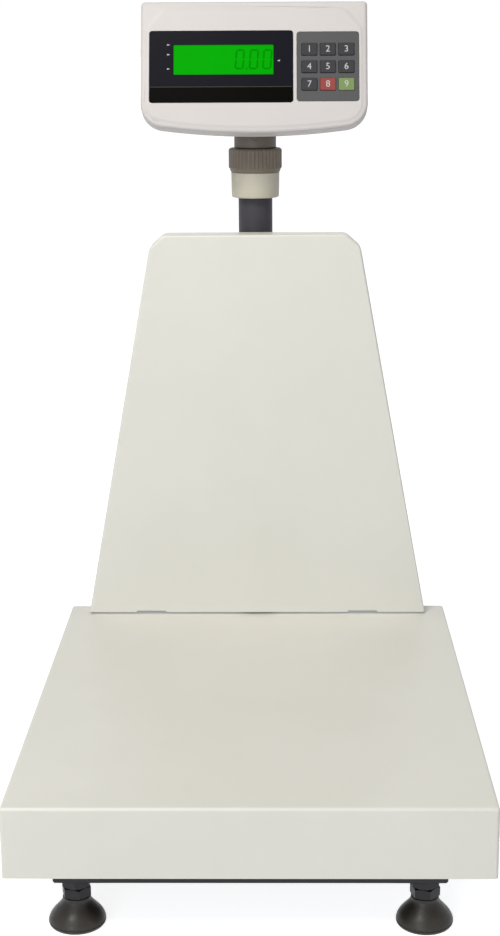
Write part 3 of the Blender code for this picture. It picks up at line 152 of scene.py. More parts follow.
def blend_colours(tree, factor, first, second):
    made = node_of(tree, "ShaderNodeMix", data_type="RGBA")
    made.inputs["A"].default_value = (*first, 1.0)
    made.inputs["B"].default_value = (*second, 1.0)
    tree.links.new(factor, made.inputs["Factor"])
    return made.outputs["Result"]


def shaded(colour, amount):
    return tuple(min(1.0, c * amount) for c in colour)


def new_material(name, colour, specular):
    """Names a material and gives its nodes, its shader and the coordinates on the object."""
    made = bpy.data.materials.new(name)
    made.use_nodes = True
    made.diffuse_color = (*colour, 1.0)
    MATERIALS[name] = made
    tree = made.node_tree
    shader = tree.nodes["Principled BSDF"]
    shader.inputs["Specular IOR Level"].default_value = specular
    return tree, shader, node_of(tree, "ShaderNodeTexCoord").outputs["Object"]


def surface(
    name, colour, roughness, metallic=0.0, mottle=0.03, mottle_scale=25.0, grain=None, gloss_change=0.04,
    stretch=None, specular=0.5, tint=None,
):
    """A painted, moulded or plated surface: mottled colour, uneven gloss and a fine grain as bump.

    grain is (scale, height in metres). tint is the colour that the mottling leans to.
    """
    tree, shader, coordinates = new_material(name, colour, specular)
    shader.inputs["Metallic"].default_value = metallic
    cloud = noise(tree, coordinates, mottle_scale, 4.0, 0.6, stretch)
    dark = shaded(tint or colour, 1.0 - mottle)
    pale = shaded(colour, 1.0 + mottle)
    tree.links.new(
        blend_colours(tree, spread(tree, cloud, 0.0, 1.0), dark, pale), shader.inputs["Base Color"]
    )
    patches = noise(tree, coordinates, mottle_scale * 2.7, 3.0, 0.5, stretch)
    tree.links.new(
        spread(tree, patches, roughness - gloss_change, roughness + gloss_change),
        shader.inputs["Roughness"],
    )
    if grain:
        scale, height = grain
        bump = node_of(tree, "ShaderNodeBump")
        bump.inputs["Strength"].default_value = 1.0
        bump.inputs["Distance"].default_value = height
        tree.links.new(noise(tree, coordinates, scale, 2.0, 0.5, stretch), bump.inputs["Height"])
        tree.links.new(bump.outputs["Normal"], shader.inputs["Normal"])


def glowing(name, colour, roughness):
    """A lit display surface."""
    tree, shader, coordinates = new_material(name, colour, 0.01)
    shader.inputs["Base Color"].default_value = (*shaded(colour, 0.25), 1.0)
    shader.inputs["Roughness"].default_value = roughness
    shader.inputs["Emission Strength"].default_value = 1.0
    cloud = noise(tree, coordinates, 35.0, 2.0, 0.55)
    tree.links.new(
        blend_colours(tree, spread(tree, cloud, 0.0, 1.0), shaded(colour, 0.95), colour),
        shader.inputs["Emission Color"],
    )


def make_materials():
    surface(
        "cream_paint", (0.700, 0.690, 0.636), 0.36, mottle=0.012, mottle_scale=7.0,
        grain=(1100.0, 0.000022), gloss_change=0.03, tint=(0.690, 0.680, 0.620),
    )
    surface(
        "frame_paint", (0.012, 0.012, 0.017), 0.42, mottle=0.15, grain=(900.0, 0.00003), specular=0.3,
    )
    surface(
        "zinc_steel", (0.62, 0.62, 0.60), 0.33, 1.0, mottle=0.08, mottle_scale=60.0,
        grain=(500.0, 0.00001), gloss_change=0.08, tint=(0.58, 0.57, 0.52),
    )
    surface(
        "dark_steel", (0.014, 0.014, 0.017), 0.42, 0.3, mottle=0.2, mottle_scale=120.0,
        grain=(700.0, 0.00002), gloss_change=0.08, specular=0.35,
    )
    surface(
        "cell_aluminium", (0.78, 0.79, 0.80), 0.30, 1.0, mottle=0.04, mottle_scale=90.0,
        grain=(420.0, 0.000012), stretch=(1.0, 0.05, 1.0),
    )
    surface(
        "black_rubber", (0.025, 0.021, 0.017), 0.40, mottle=0.16, mottle_scale=80.0,
        grain=(650.0, 0.00004), gloss_change=0.07, tint=(0.022, 0.018, 0.014), specular=0.35,
    )
    surface(
        "column_paint", (0.057, 0.054, 0.062), 0.45, mottle=0.05, mottle_scale=30.0,
        grain=(1000.0, 0.00002), specular=0.12,
    )
    for name, colour, roughness, mottle, specular in (
        ("beige_plastic", (0.515, 0.485, 0.390), 0.48, 0.02, 0.5),
        # neck_plastic is darker than the beige: painted shade of the head above the neck
        ("neck_plastic", (0.138, 0.110, 0.086), 0.50, 0.03, 0.5),
        # The collar's taupe is darker than the beige: painted shade of the head above the knurled band
        ("collar_taupe_painted_shade", (0.190, 0.158, 0.120), 0.50, 0.03, 0.3),
    ):
        surface(
            name, colour, roughness, mottle=mottle, mottle_scale=40.0, grain=(1500.0, 0.00002),
            specular=specular,
        )
    surface(
        "shell_plastic", (0.566, 0.538, 0.528), 0.46, mottle=0.010, mottle_scale=12.0,
        grain=(1900.0, 0.000018), gloss_change=0.02, specular=0.35,
    )
    surface(
        "keypad_grey", (0.088, 0.087, 0.091), 0.48, mottle=0.02, mottle_scale=30.0,
        grain=(2600.0, 0.000012), specular=0.12,
    )
    for name, colour, roughness in (
        ("key_grey", (0.038, 0.037, 0.043), 0.46),
        ("key_red", (0.270, 0.058, 0.050), 0.44),
        ("key_green", (0.185, 0.262, 0.100), 0.44),
    ):
        surface(
            name, colour, roughness, mottle=0.02, mottle_scale=60.0, grain=(2600.0, 0.00001), specular=0.12,
        )
    for name, colour in (
        ("display_black", (0.0098, 0.0100, 0.0150)), ("band_black", (0.0026, 0.0024, 0.0022)),
    ):
        surface(name, colour, 0.20, mottle=0.02, gloss_change=0.02, specular=0.02)
    surface("print_white", (0.50, 0.50, 0.51), 0.50, mottle=0.02, specular=0.1)
    surface("print_line", (0.052, 0.055, 0.038), 0.40, mottle=0.02, specular=0.05)
    surface(
        "pcb_green", (0.012, 0.110, 0.032), 0.42, mottle=0.06, mottle_scale=180.0, grain=(900.0, 0.00002),
    )
    surface("battery_black", (0.022, 0.022, 0.023), 0.46, mottle=0.08, grain=(900.0, 0.00003))
    surface("switch_black", (0.015, 0.015, 0.016), 0.34, mottle=0.06, grain=(1500.0, 0.00001))
    glowing("lcd_green", (0.0008, 0.340, 0.0008), 0.20)
    glowing("lcd_digit", (0.0010, 0.205, 0.0010), 0.25)


# Shapes

# From a flat drawing of x and z to the upright plane behind the front
UPRIGHT = Matrix(((1, 0, 0, 0), (0, 0, -1, 0), (0, 1, 0, 0), (0, 0, 0, 1)))
AXIS_TURN = {
    "X": Matrix.Rotation(pi / 2, 4, "Y"),
    "Y": Matrix.Rotation(-pi / 2, 4, "X"),
    "Z": Matrix.Identity(4),
}


def linked(data, name="shape"):
    obj = bpy.data.objects.new(name, data)
    bpy.context.scene.collection.objects.link(obj)
    return obj


def mesh_from(bm, name="shape", outward=True):
    if outward:
        bmesh.ops.recalc_face_normals(bm, faces=bm.faces)
    mesh = bpy.data.meshes.new(name)
    bm.to_mesh(mesh)
    bm.free()
    return mesh


def smooth(obj, angle=35.0):
    obj.data.shade_smooth()
    obj.data.set_sharp_from_angle(angle=radians(angle))
    return obj


def applied(obj, angle=35.0):
    """The object with its modifiers made real, cleaned and shaded."""
    graph = bpy.context.evaluated_depsgraph_get()
    graph.update()
    mesh = bpy.data.meshes.new_from_object(obj.evaluated_get(graph))
    bm = bmesh.new()
    bm.from_mesh(mesh)
    bmesh.ops.remove_doubles(bm, verts=bm.verts, dist=0.000002)
    bmesh.ops.recalc_face_normals(bm, faces=bm.faces)
    bm.to_mesh(mesh)
    bm.free()
    result = linked(mesh, obj.name)
    bpy.data.objects.remove(obj, do_unlink=True)
    return smooth(result, angle)


def boolean(obj, other, operation):
    step = obj.modifiers.new("shape", "BOOLEAN")
    step.operation = operation
    step.object = other
    result = applied(obj)
    bpy.data.objects.remove(other, do_unlink=True)
    return result


def cut(obj, other):
    return boolean(obj, other, "DIFFERENCE")


def join(obj, other):
    return boolean(obj, other, "UNION")


def round_edges(obj, width, segments, angle):
    """Rounds the edges at which two faces meet at more than the angle, without making it real."""
    step = obj.modifiers.new("edges", "BEVEL")
    step.width = width
    step.segments = segments
    step.limit_method = "ANGLE"
    step.angle_limit = radians(angle)
    step.miter_outer = "MITER_ARC"


def bevel(obj, width, angle=50.0):
    round_edges(obj, width, 2, angle)
    return applied(obj, 40.0)


def box_mesh(low, high):
    bm = bmesh.new()
    bmesh.ops.create_cube(bm, size=1.0)
    bmesh.ops.scale(bm, vec=high - low, verts=bm.verts)
    bmesh.ops.translate(bm, vec=(low + high) / 2, verts=bm.verts)
    return bm


def block(low, high):
    return linked(mesh_from(box_mesh(Vector(low), Vector(high))))


def rod(radius, start, end, axis="Z", at=(0.0, 0.0, 0.0), sides=48, turn=0.0):
    bm = bmesh.new()
    bmesh.ops.create_cone(
        bm, cap_ends=True, segments=sides, radius1=radius, radius2=radius, depth=end - start
    )
    bmesh.ops.rotate(bm, matrix=Matrix.Rotation(turn, 3, "Z"), verts=bm.verts)
    bmesh.ops.translate(bm, vec=(0.0, 0.0, (start + end) / 2), verts=bm.verts)
    bmesh.ops.transform(bm, matrix=Matrix.Translation(at) @ AXIS_TURN[axis], verts=bm.verts)
    return smooth(linked(mesh_from(bm)))


def turned(profile, steps, bore=False, angle=35.0):
    """A turned shape from (radius, z) points. With a bore the profile closes on itself."""
    bm = bmesh.new()
    points = [bm.verts.new((radius, 0.0, z)) for radius, z in profile]
    for a, b in zip(points, points[1:]):
        bm.edges.new((a, b))
    if bore:
        bm.edges.new((points[-1], points[0]))
    obj = linked(mesh_from(bm, "turned", outward=False))
    step = obj.modifiers.new("turn", "SCREW")
    step.steps = step.render_steps = steps
    step.use_merge_vertices = True
    step.merge_threshold = 0.000005
    return applied(obj, angle)


def prism(outlines, start, end):
    """Flat outlines of x and z, the first outside and the rest holes, from one depth to another."""
    curve = bpy.data.curves.new("outline", "CURVE")
    curve.dimensions = "2D"
    curve.fill_mode = "BOTH"
    curve.extrude = (end - start) / 2
    for outline in outlines:
        spline = curve.splines.new("POLY")
        spline.points.add(len(outline) - 1)
        for point, (x, z) in zip(spline.points, outline):
            point.co = (x, z, 0.0, 1.0)
        spline.use_cyclic_u = True
    solid = applied(linked(curve))
    solid.data.transform(UPRIGHT @ Matrix.Translation((0.0, 0.0, -(start + end) / 2)))
    return solid


def rings_to_mesh(rings, closed=False):
    """Skins a row of point rings. The ends are capped, or joined to each other when closed."""
    bm = bmesh.new()
    made = [[bm.verts.new(point) for point in ring] for ring in rings]
    count = len(made[0])
    pairs = list(zip(made, made[1:]))
    if closed:
        pairs.append((made[-1], made[0]))
    for near, far in pairs:
        for i in range(count):
            j = (i + 1) % count
            bm.faces.new((near[i], near[j], far[j], far[i]))
    if not closed:
        bm.faces.new(made[0])
        bm.faces.new(made[-1])
    return linked(mesh_from(bm))


def loft(sections, angle=25.0):
    """A skin through flat sections, each (depth, outline of x and z)."""
    return smooth(rings_to_mesh([[(x, y, z) for x, z in outline] for y, outline in sections]), angle)


def rectangle(u0, v0, u1, v1):
    return [(u0, v0), (u1, v0), (u1, v1), (u0, v1)]


def arc(centre, radius, first, last, steps):
    turns = [radians(first + (last - first) * i / steps) for i in range(steps + 1)]
    return [(centre[0] + radius * cos(t), centre[1] + radius * sin(t)) for t in turns]


def rounded_rectangle(u0, v0, u1, v1, radius, steps=6):
    return (
        arc((u1 - radius, v0 + radius), radius, -90, 0, steps)
        + arc((u1 - radius, v1 - radius), radius, 0, 90, steps)
        + arc((u0 + radius, v1 - radius), radius, 90, 180, steps)
        + arc((u0 + radius, v0 + radius), radius, 180, 270, steps)
    )


def quarter(radius, steps=6):
    """(set back, inset) of points on a rounded edge, from its side to its front."""
    return [
        (radius * (1 - sin(pi / 2 * i / steps)), radius * (1 - cos(pi / 2 * i / steps)))
        for i in range(steps + 1)
    ]


def place(obj, name, paint, body, instead_of=(), at=None):
    """Names a piece, finishes it, puts it on its body and hides the solids it stands for."""
    obj.name = name
    obj.data.name = name
    obj.data.materials.clear()
    obj.data.materials.append(MATERIALS[paint])
    if at is not None:
        obj.data.transform(at)
    even = obj.modifiers.new("even shading", "WEIGHTED_NORMAL")
    even.keep_sharp = True
    even.weight = 60
    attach(obj, body)
    if instead_of:
        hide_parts(*instead_of)


def softened(node, width):
    """A copy of a plain solid standing for it. With a width its faces are merged and its edges softened."""
    bm = bmesh.new()
    bm.from_mesh(frame["nodes"][node].data)
    bmesh.ops.remove_doubles(bm, verts=bm.verts, dist=0.00001)
    if width:
        bmesh.ops.dissolve_limit(
            bm, angle_limit=radians(0.8), verts=bm.verts, edges=bm.edges, delimit={"NORMAL"}
        )
    obj = smooth(linked(mesh_from(bm, node, outward=False)), 30.0)
    if width:
        obj = bevel(obj, width, 32.0)
    place(obj, node + "_detail", SLOT_OF[node], BODY_OF[node], [node])
    return obj


# Platter

PLATTER_SHEET = 0.0015
PLATTER_FOLD = 0.0030


def make_platter():
    """A folded pan with an open underside."""
    bm = box_mesh(PLATTER_LOW, PLATTER_HIGH)
    bm.normal_update()
    bmesh.ops.delete(bm, geom=[f for f in bm.faces if f.normal.z < -0.5], context="FACES_ONLY")
    obj = linked(mesh_from(bm))
    round_edges(obj, PLATTER_FOLD, 6, 30.0)
    sheet = obj.modifiers.new("sheet", "SOLIDIFY")
    sheet.thickness = PLATTER_SHEET
    sheet.offset = -1.0
    sheet.use_even_offset = True
    obj = bevel(applied(obj, 40.0), 0.0003)
    place(obj, "platter_pan", "cream_paint", "weigh_platform", ["platter"])


# Feet: a rubber bell, a threaded stud with its hexagon, and a lock nut

FOOT_NECK = 0.0117
FOOT_BORE = 0.0063
FOOT_BORE_FLOOR = 0.0127
# How far the bell has spread from its neck towards its rim, at which share of its height
BELL_CURVE = (
    (0.00, 0.90), (0.02, 0.86), (0.07, 0.81), (0.15, 0.75), (0.27, 0.675), (0.41, 0.60), (0.55, 0.525),
    (0.68, 0.455), (0.79, 0.385), (0.88, 0.315), (0.945, 0.25), (0.985, 0.19),
)
STUD_RADIUS = 0.0060
THREAD_PITCH = 0.00175
THREAD_DEPTH = 0.0009
HEX_ACROSS = 0.022
HEX_CHAMFER = 0.0009
HEX_TOP = 0.0340


def bell_profile(rim, height):
    """Bore edge, neck, bell, grooved rim, ringed sole and the floor of the bore."""
    neck = FOOT_NECK
    top = [
        (FOOT_BORE, height), (neck - 0.0009, height), (neck - 0.0003, height - 0.0003),
        (neck, height - 0.0009),
    ]
    bell = [(neck + (rim - neck) * out, height * up) for out, up in BELL_CURVE]
    return top + bell + [
        (rim, height * 0.15), (rim - 0.0006, height * 0.135), (rim - 0.0006, height * 0.115),
        (rim, height * 0.10), (rim - 0.0003, height * 0.05), (rim - 0.0012, 0.0), (rim - 0.005, 0.0),
        (rim - 0.0055, 0.0006), (rim - 0.008, 0.0006), (rim - 0.0085, 0.0), (0.0, 0.0),
        (0.0, FOOT_BORE_FLOOR), (FOOT_BORE, FOOT_BORE_FLOOR),
    ]


def thread(start, end):
    """The outer profile of the stud's thread, from its top to its bottom."""
    root = STUD_RADIUS - THREAD_DEPTH
    count = int((end - start) / THREAD_PITCH)
    points = []
    for i in range(count):
        z = end - i * THREAD_PITCH
        points += [
            (root, z), (STUD_RADIUS, z - THREAD_PITCH * 0.35), (STUD_RADIUS, z - THREAD_PITCH * 0.6),
        ]
    points.append((root, end - count * THREAD_PITCH))
    return points


def hex_nut(start, end, hole=0.0, turn=0.0):
    """A hexagon with rounded-off corners."""
    body = rod(HEX_ACROSS / sqrt(3), start, end, sides=6, turn=turn)
    corner = HEX_ACROSS / sqrt(3) + 0.0001
    flat = HEX_ACROSS / 2 - 0.0002
    profile = [
        (0.0, end), (flat, end), (corner, end - HEX_CHAMFER), (corner, start + HEX_CHAMFER),
        (flat, start), (0.0, start),
    ]
    body = boolean(body, turned(profile, 64), "INTERSECT")
    if hole:
        body = cut(body, rod(hole, start - 0.01, end + 0.01))
    return smooth(body, 20.0)


def make_foot(corner):
    low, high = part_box("foot_pad_" + corner)
    centre = (low + high) / 2
    at = Matrix.Translation((centre.x, centre.y, 0.0))
    body = "foot_" + corner
    pad = turned(bell_profile((high.x - low.x) / 2, high.z), 96, bore=True, angle=50.0)
    place(pad, "foot_bell_" + corner, "black_rubber", body, ["foot_pad_" + corner], at)

    stud_low, stud_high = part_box("foot_stud_" + corner)
    hex_low = high.z + FIT
    profile = [(0.0, stud_high.z), (0.0048, stud_high.z)]
    profile += thread(HEX_TOP - 0.001, stud_high.z - 0.0012)
    profile += [
        (0.0058, HEX_TOP - 0.002), (STUD_RADIUS, hex_low + 0.002), (STUD_RADIUS, stud_low.z),
        (0.0, stud_low.z),
    ]
    stud = join(turned(profile, 48, angle=25.0), hex_nut(hex_low, HEX_TOP, turn=radians(15)))
    place(smooth(stud, 25.0), "foot_screw_" + corner, "dark_steel", body, ["foot_stud_" + corner], at)

    nut_low, nut_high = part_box("foot_nut_" + corner)
    nut = hex_nut(nut_low.z, nut_high.z, FOOT_BORE)
    place(nut, "foot_locknut_" + corner, "dark_steel", "base", ["foot_nut_" + corner], at)


# Column, socket, knurled collar and neck

COLUMN_WALL = 0.002
COLUMN_EDGE = 0.0004
BOLT_BORE = 0.0043
CABLE_HOLE = 0.006
CABLE_HOLE_ABOVE_BRACKET = 0.020
SKIRT = (SOCKET_HIGH.x - SOCKET_LOW.x) / 2
SOCKET_BORE = 0.0178
SPIGOT_BORE = 0.0138
SPIGOT_RADIUS = 0.0203
SLIT_HALF = 0.001
COLLAR_RIDGES = 40
RIDGE_POINTS = 8
RIDGE_DEPTH = 0.0009
COLLAR_INNER = 0.0206
COLLAR_WEB = 0.0035
NECK_RADIUS = 0.0215
NECK_HEIGHT = 0.013
NECK_EDGE = 0.0012
CABLE_BORE = 0.005


def make_column():
    """A tube with holes for its bolt and for the cable."""
    outer = (COLUMN_HIGH.x - COLUMN_LOW.x) / 2
    inner = outer - COLUMN_WALL
    low, high = COLUMN_LOW.z, COLUMN_HIGH.z
    column = turned([
        (outer - COLUMN_EDGE, high), (outer, high - COLUMN_EDGE), (outer, low + COLUMN_EDGE),
        (outer - COLUMN_EDGE, low), (inner, low), (inner, high),
    ], 128, bore=True)
    bolt_low, bolt_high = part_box("column_bolt")
    bolt_z = (bolt_low.z + bolt_high.z) / 2
    cable_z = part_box("column_bracket")[1].z + CABLE_HOLE_ABOVE_BRACKET
    column = cut(column, rod(BOLT_BORE, -0.05, 0.05, "X", (0.0, 0.0, bolt_z)))
    column = cut(column, rod(CABLE_HOLE, -0.05, 0.0, "Y", (0.0, 0.0, cable_z)))
    place(column, "column_tube", "column_paint", "base", ["column"], COLUMN_AT)


def make_socket():
    """A skirt over the column, and above its ledge a slit spigot for the collar to grip."""
    low, high = SOCKET_LOW.z, SOCKET_HIGH.z
    ledge = COLLAR_LOW.z - FIT
    socket = turned([
        (SPIGOT_BORE, high), (SPIGOT_RADIUS - 0.0008, high), (SPIGOT_RADIUS, high - 0.0008),
        (SPIGOT_RADIUS, ledge), (SKIRT - 0.0006, ledge), (SKIRT - 0.0001, ledge - 0.0004),
        (SKIRT, ledge - 0.001), (SKIRT - 0.0003, low + 0.0050), (SKIRT - 0.0005, low + 0.0046),
        (SKIRT - 0.0005, low + 0.0042), (SKIRT - 0.0003, low + 0.0038), (SKIRT - 0.0006, low + 0.0012),
        (SKIRT - 0.0009, low + 0.0005), (SKIRT - 0.0016, low), (SOCKET_BORE + 0.0006, low),
        (SOCKET_BORE, low + 0.0006), (SOCKET_BORE, ledge - 0.004), (SPIGOT_BORE, ledge - 0.004),
    ], 128, bore=True, angle=30.0)
    for turn in (pi / 4, 3 * pi / 4):
        slit = block((-SKIRT, -SLIT_HALF, ledge + 0.002), (SKIRT, SLIT_HALF, COLLAR_HIGH.z))
        slit.data.transform(Matrix.Rotation(turn, 4, "Z"))
        socket = cut(socket, slit)
    place(socket, "column_socket_turned", "beige_plastic", "base", ["column_socket"], COLUMN_AT)


def make_collar():
    """A ring with fine upright grooves, a narrowed foot and a web on top."""
    radius = (COLLAR_HIGH.x - COLLAR_LOW.x) / 2
    count = COLLAR_RIDGES * RIDGE_POINTS
    waist = SKIRT + 0.0006

    def ring(z, limit, ridged=False):
        made = []
        for i in range(count):
            phase = (i % RIDGE_POINTS) / RIDGE_POINTS
            groove = RIDGE_DEPTH * max(0.0, cos(2 * pi * phase)) ** 0.7 if ridged else 0.0
            r = min(radius - groove, limit) if ridged else limit
            turn = 2 * pi * i / count
            made.append((r * cos(turn), r * sin(turn), z))
        return made

    low, top = COLLAR_LOW.z, COLLAR_HIGH.z
    rings = [
        ring(low, waist - 0.0004), ring(low + 0.0005, waist), ring(low + 0.0036, radius - RIDGE_DEPTH),
        ring(low + 0.0042, radius, True), ring(top - 0.0020, radius, True),
        ring(top - 0.0014, radius - 0.0003, True), ring(top - 0.0008, radius - RIDGE_DEPTH),
        ring(top - 0.0002, radius - 0.0016), ring(top, radius - 0.0024), ring(top, SPIGOT_BORE + 0.0004),
        ring(top - 0.0004, SPIGOT_BORE), ring(top - COLLAR_WEB, SPIGOT_BORE),
        ring(top - COLLAR_WEB, COLLAR_INNER), ring(low, COLLAR_INNER),
    ]
    collar = smooth(rings_to_mesh(rings, closed=True), 28.0)
    # Its darker taupe is painted shade of the head above the collar.
    place(collar, "collar_knurled", "collar_taupe_painted_shade", "collar", ["locking_collar"], COLUMN_AT)


def make_neck():
    """The neck, with its front wall closed below the head."""
    # The neck pieces take neck_plastic, whose dark tone is painted shade of the head above the neck.
    softened("swivel_neck", 0.0004)
    low = COLLAR_HIGH.z + FIT
    high = low + NECK_HEIGHT
    wall = turned([
        (0.0, high), (NECK_RADIUS - NECK_EDGE, high), (NECK_RADIUS, high - NECK_EDGE), (NECK_RADIUS, low),
        (0.0, low),
    ], 96)
    plug = rod(CABLE_BORE - 0.0001, -NECK_RADIUS * 2, -0.008, "Y", (0.0, 0.0, high))
    plug = boolean(plug, wall, "INTERSECT")
    place(smooth(plug, 30.0), "neck_front", "neck_plastic", "neck", (), COLUMN_AT)


# Indicator head. Its own frame is at the tilt pin: X, inwards and up the face

FACE_Y = -0.058
BEZEL_SET_BACK = 0.0008
BEZEL_Y = FACE_Y + BEZEL_SET_BACK
FACE_INNER_Y = FACE_Y + 0.0036
PARTING_Y = BEZEL_Y + 0.015
REAR_START_Y = PARTING_Y + FIT
REAR_Y = 0.014
CENTRE_Z = 0.030
HEAD_WIDTH = 0.2245
HEAD_LOW = CENTRE_Z - 0.0631
HEAD_HIGH = CENTRE_Z + 0.0709
HEAD_BOW = 0.0062
HEAD_WALL = 0.0022
HEAD_EDGE = 0.0032
TOP_RADIUS = 0.004
BOTTOM_RADIUS = 0.024

# The raised field: its margins, its slanted upper corners, and the slope round it as (set back, inset)
FIELD_MARGIN = 0.0055
FIELD_DROP = 0.003
FIELD_CORNER = (0.017, 0.020)
FIELD_SLOPE = ((BEZEL_SET_BACK, -0.0014), (0.0004, -0.0002), (0.0001, 0.0008), (0.0, 0.0016))

# The flat back
BACK_HALF = 0.082
BACK_LOW = -0.015
BACK_HIGH = 0.066
BACK_RADIUS = 0.010
BACK_EDGE = 0.0025

# The opening for the neck's hinge, with its bosses
HINGE_HALF = 0.024
HINGE_WALL = 0.003
HINGE_FRONT = 0.028
HINGE_TOP = 0.014
HINGE_BOSS = 0.008

SWITCH_X = 0.060
SWITCH_HALF = (0.0081, 0.0121)
CHARGER_X = -0.060
CHARGER_BORE = 0.0058
REAR_FITTINGS_Z = 0.030

# Places on the face: centre, height above the face's middle, width and height
DISPLAY = (-0.03255, 0.0036, 0.1428, 0.0736)
GLASS = (-0.03025, 0.0108, 0.0986, 0.0302)
KEYPAD = (0.07295, 0.0034, 0.0620, 0.0712)
RECESS_DEPTH = 0.0018
RECESS_RADIUS = 0.0032
OVERLAY_RADIUS = 0.0029
OVERLAY_GAP = 0.0006
OVERLAY_EDGE = 0.0002


def round_corner(half, high, radius):
    """The upper right corner as a quarter of a circle."""
    return arc((half - radius, high - radius), radius, 0, 90, 8)


def cut_corner(half, high, inset, reach=0.0045, steps=5):
    """The upper right corner as a slanted edge with rounded ends, set in by inset."""
    across, down = FIELD_CORNER
    turn = atan2(across, down)
    side = Vector((half, high - down - inset * tan(turn / 2)))
    top = Vector((half - across - inset * tan(pi / 4 - turn / 2), high))
    along = (top - side).normalized()
    points = []
    for corner, before, after in ((side, Vector((0.0, 1.0)), along), (top, along, Vector((-1.0, 0.0)))):
        first, last = corner - before * reach, corner + after * reach
        for i in range(steps + 1):
            t = i / steps
            points.append(tuple(first * (1 - t) ** 2 + corner * 2 * t * (1 - t) + last * t * t))
    return points


def bowed_outline(half, low, radius, bow, corner, bow_steps=24):
    """An outline with a bowed lower edge, lower corners of the radius and the upper corner given."""
    slope = atan2(2 * bow, half - radius)
    bow_half = half - radius * (1 - sin(slope))
    steps = [2 * i / bow_steps - 1 for i in range(1, bow_steps)]
    floor = [(bow_half * t, low + bow * t * t) for t in steps]
    centre = (half - radius, low + bow + radius * cos(slope))
    right = arc(centre, radius, slope * 180 / pi - 90, 0, 16) + corner
    return floor + right + [(-x, z) for x, z in reversed(right)]


def head_outline(inset):
    half, high = HEAD_WIDTH / 2 - inset, HEAD_HIGH - inset
    corner = round_corner(half, high, max(TOP_RADIUS - inset, 0.0008))
    return bowed_outline(half, HEAD_LOW + inset, BOTTOM_RADIUS - inset, HEAD_BOW, corner)


def field_outline(inset):
    half, high = HEAD_WIDTH / 2 - FIELD_MARGIN - inset, HEAD_HIGH - FIELD_MARGIN - FIELD_DROP - inset
    low, radius = HEAD_LOW + FIELD_MARGIN + inset, BOTTOM_RADIUS - FIELD_MARGIN - inset
    return bowed_outline(half, low, radius, HEAD_BOW, cut_corner(half, high, inset))


def back_outline(inset):
    half, high, radius = BACK_HALF - inset, BACK_HIGH - inset, BACK_RADIUS - inset
    return bowed_outline(half, BACK_LOW + inset, radius, HEAD_BOW / 2, round_corner(half, high, radius))


def centred(spot, grow, radius):
    """A rounded rectangle at a place on the face, larger than that by grow each way."""
    x, up, width, height = spot
    half_width, half_height = (width + grow) / 2, (height + grow) / 2
    z = CENTRE_Z + up
    return rounded_rectangle(x - half_width, z - half_height, x + half_width, z + half_height, radius)


def make_front_shell():
    """A bezel with a rounded edge, the raised field, two recesses and the openings behind them."""
    sections = [(PARTING_Y, head_outline(0.0004)), (PARTING_Y - 0.0004, head_outline(0.0))]
    sections += [(BEZEL_Y + back, head_outline(inset)) for back, inset in quarter(HEAD_EDGE)]
    sections += [(FACE_Y + back, field_outline(inset)) for back, inset in FIELD_SLOPE]
    shell = loft(sections)
    shell = cut(shell, loft([(FACE_INNER_Y, head_outline(HEAD_WALL)), (0.0, head_outline(HEAD_WALL))]))
    for spot in (DISPLAY, KEYPAD):
        shell = cut(shell, prism([centred(spot, 0.0, RECESS_RADIUS)], -1.0, FACE_Y + RECESS_DEPTH))
    for spot, grow in ((GLASS, 0.006), (KEYPAD, -0.006)):
        shell = cut(shell, prism([centred(spot, grow, 0.001)], -1.0, 0.0))
    shell = smooth(shell, 40.0)
    place(shell, "head_front", "shell_plastic", "head", ["head_front_shell"], HEAD)


def rear_sections(inset, end_radius=0.0):
    """From the parting line to the back, which may have a rounded edge."""
    front, back = head_outline(0.0006 + inset), back_outline(inset)
    if not end_radius:
        return [(REAR_START_Y, front), (REAR_Y - inset, back)]
    slope = (REAR_START_Y - (REAR_Y - end_radius)) / (REAR_START_Y - REAR_Y)
    near = [(a[0] + (b[0] - a[0]) * slope, a[1] + (b[1] - a[1]) * slope) for a, b in zip(front, back)]
    rounded = [
        (REAR_Y - set_back, back_outline(inset_step * 0.8))
        for set_back, inset_step in quarter(end_radius)[1:]
    ]
    return [(REAR_START_Y, front), (REAR_Y - end_radius, near)] + rounded


def make_rear_shell():
    """A hollow shell with a housing for the hinge and openings for the switch and the charger."""
    shell = loft(rear_sections(0.0, BACK_EDGE))
    hollow = rear_sections(HEAD_WALL)
    shell = cut(shell, loft([(PARTING_Y - HEAD_WALL, hollow[0][1])] + hollow))
    half, wall, front = HINGE_HALF, HINGE_WALL, HINGE_FRONT
    housing = block(
        (-half - wall, -front - wall, HEAD_LOW - 0.01), (half + wall, REAR_Y, HINGE_TOP + wall)
    )
    shell = join(shell, boolean(housing, loft(rear_sections(0.0002)), "INTERSECT"))
    for side in (-1, 1):
        ends = sorted((side * half, side * (half + wall + 0.004)))
        shell = join(shell, rod(HINGE_BOSS, ends[0], ends[1], "X"))
    shell = cut(shell, block((-half, -front, HEAD_LOW - 0.02), (half, REAR_Y + 0.02, HINGE_TOP)))
    shell = cut(shell, rod(BOLT_BORE, -2 * half, 2 * half, "X"))
    half_x, half_z = SWITCH_HALF
    z = REAR_FITTINGS_Z
    shell = cut(shell, block((SWITCH_X - half_x, 0.0, z - half_z), (SWITCH_X + half_x, 0.03, z + half_z)))
    shell = cut(shell, rod(CHARGER_BORE, 0.0, 0.03, "Y", (CHARGER_X, 0.0, z)))
    place(smooth(shell, 30.0), "head_rear", "shell_plastic", "head", ["head_rear_shell"], HEAD)


# Display: an overlay with a window, the lit glass behind it, its digits and plain prints

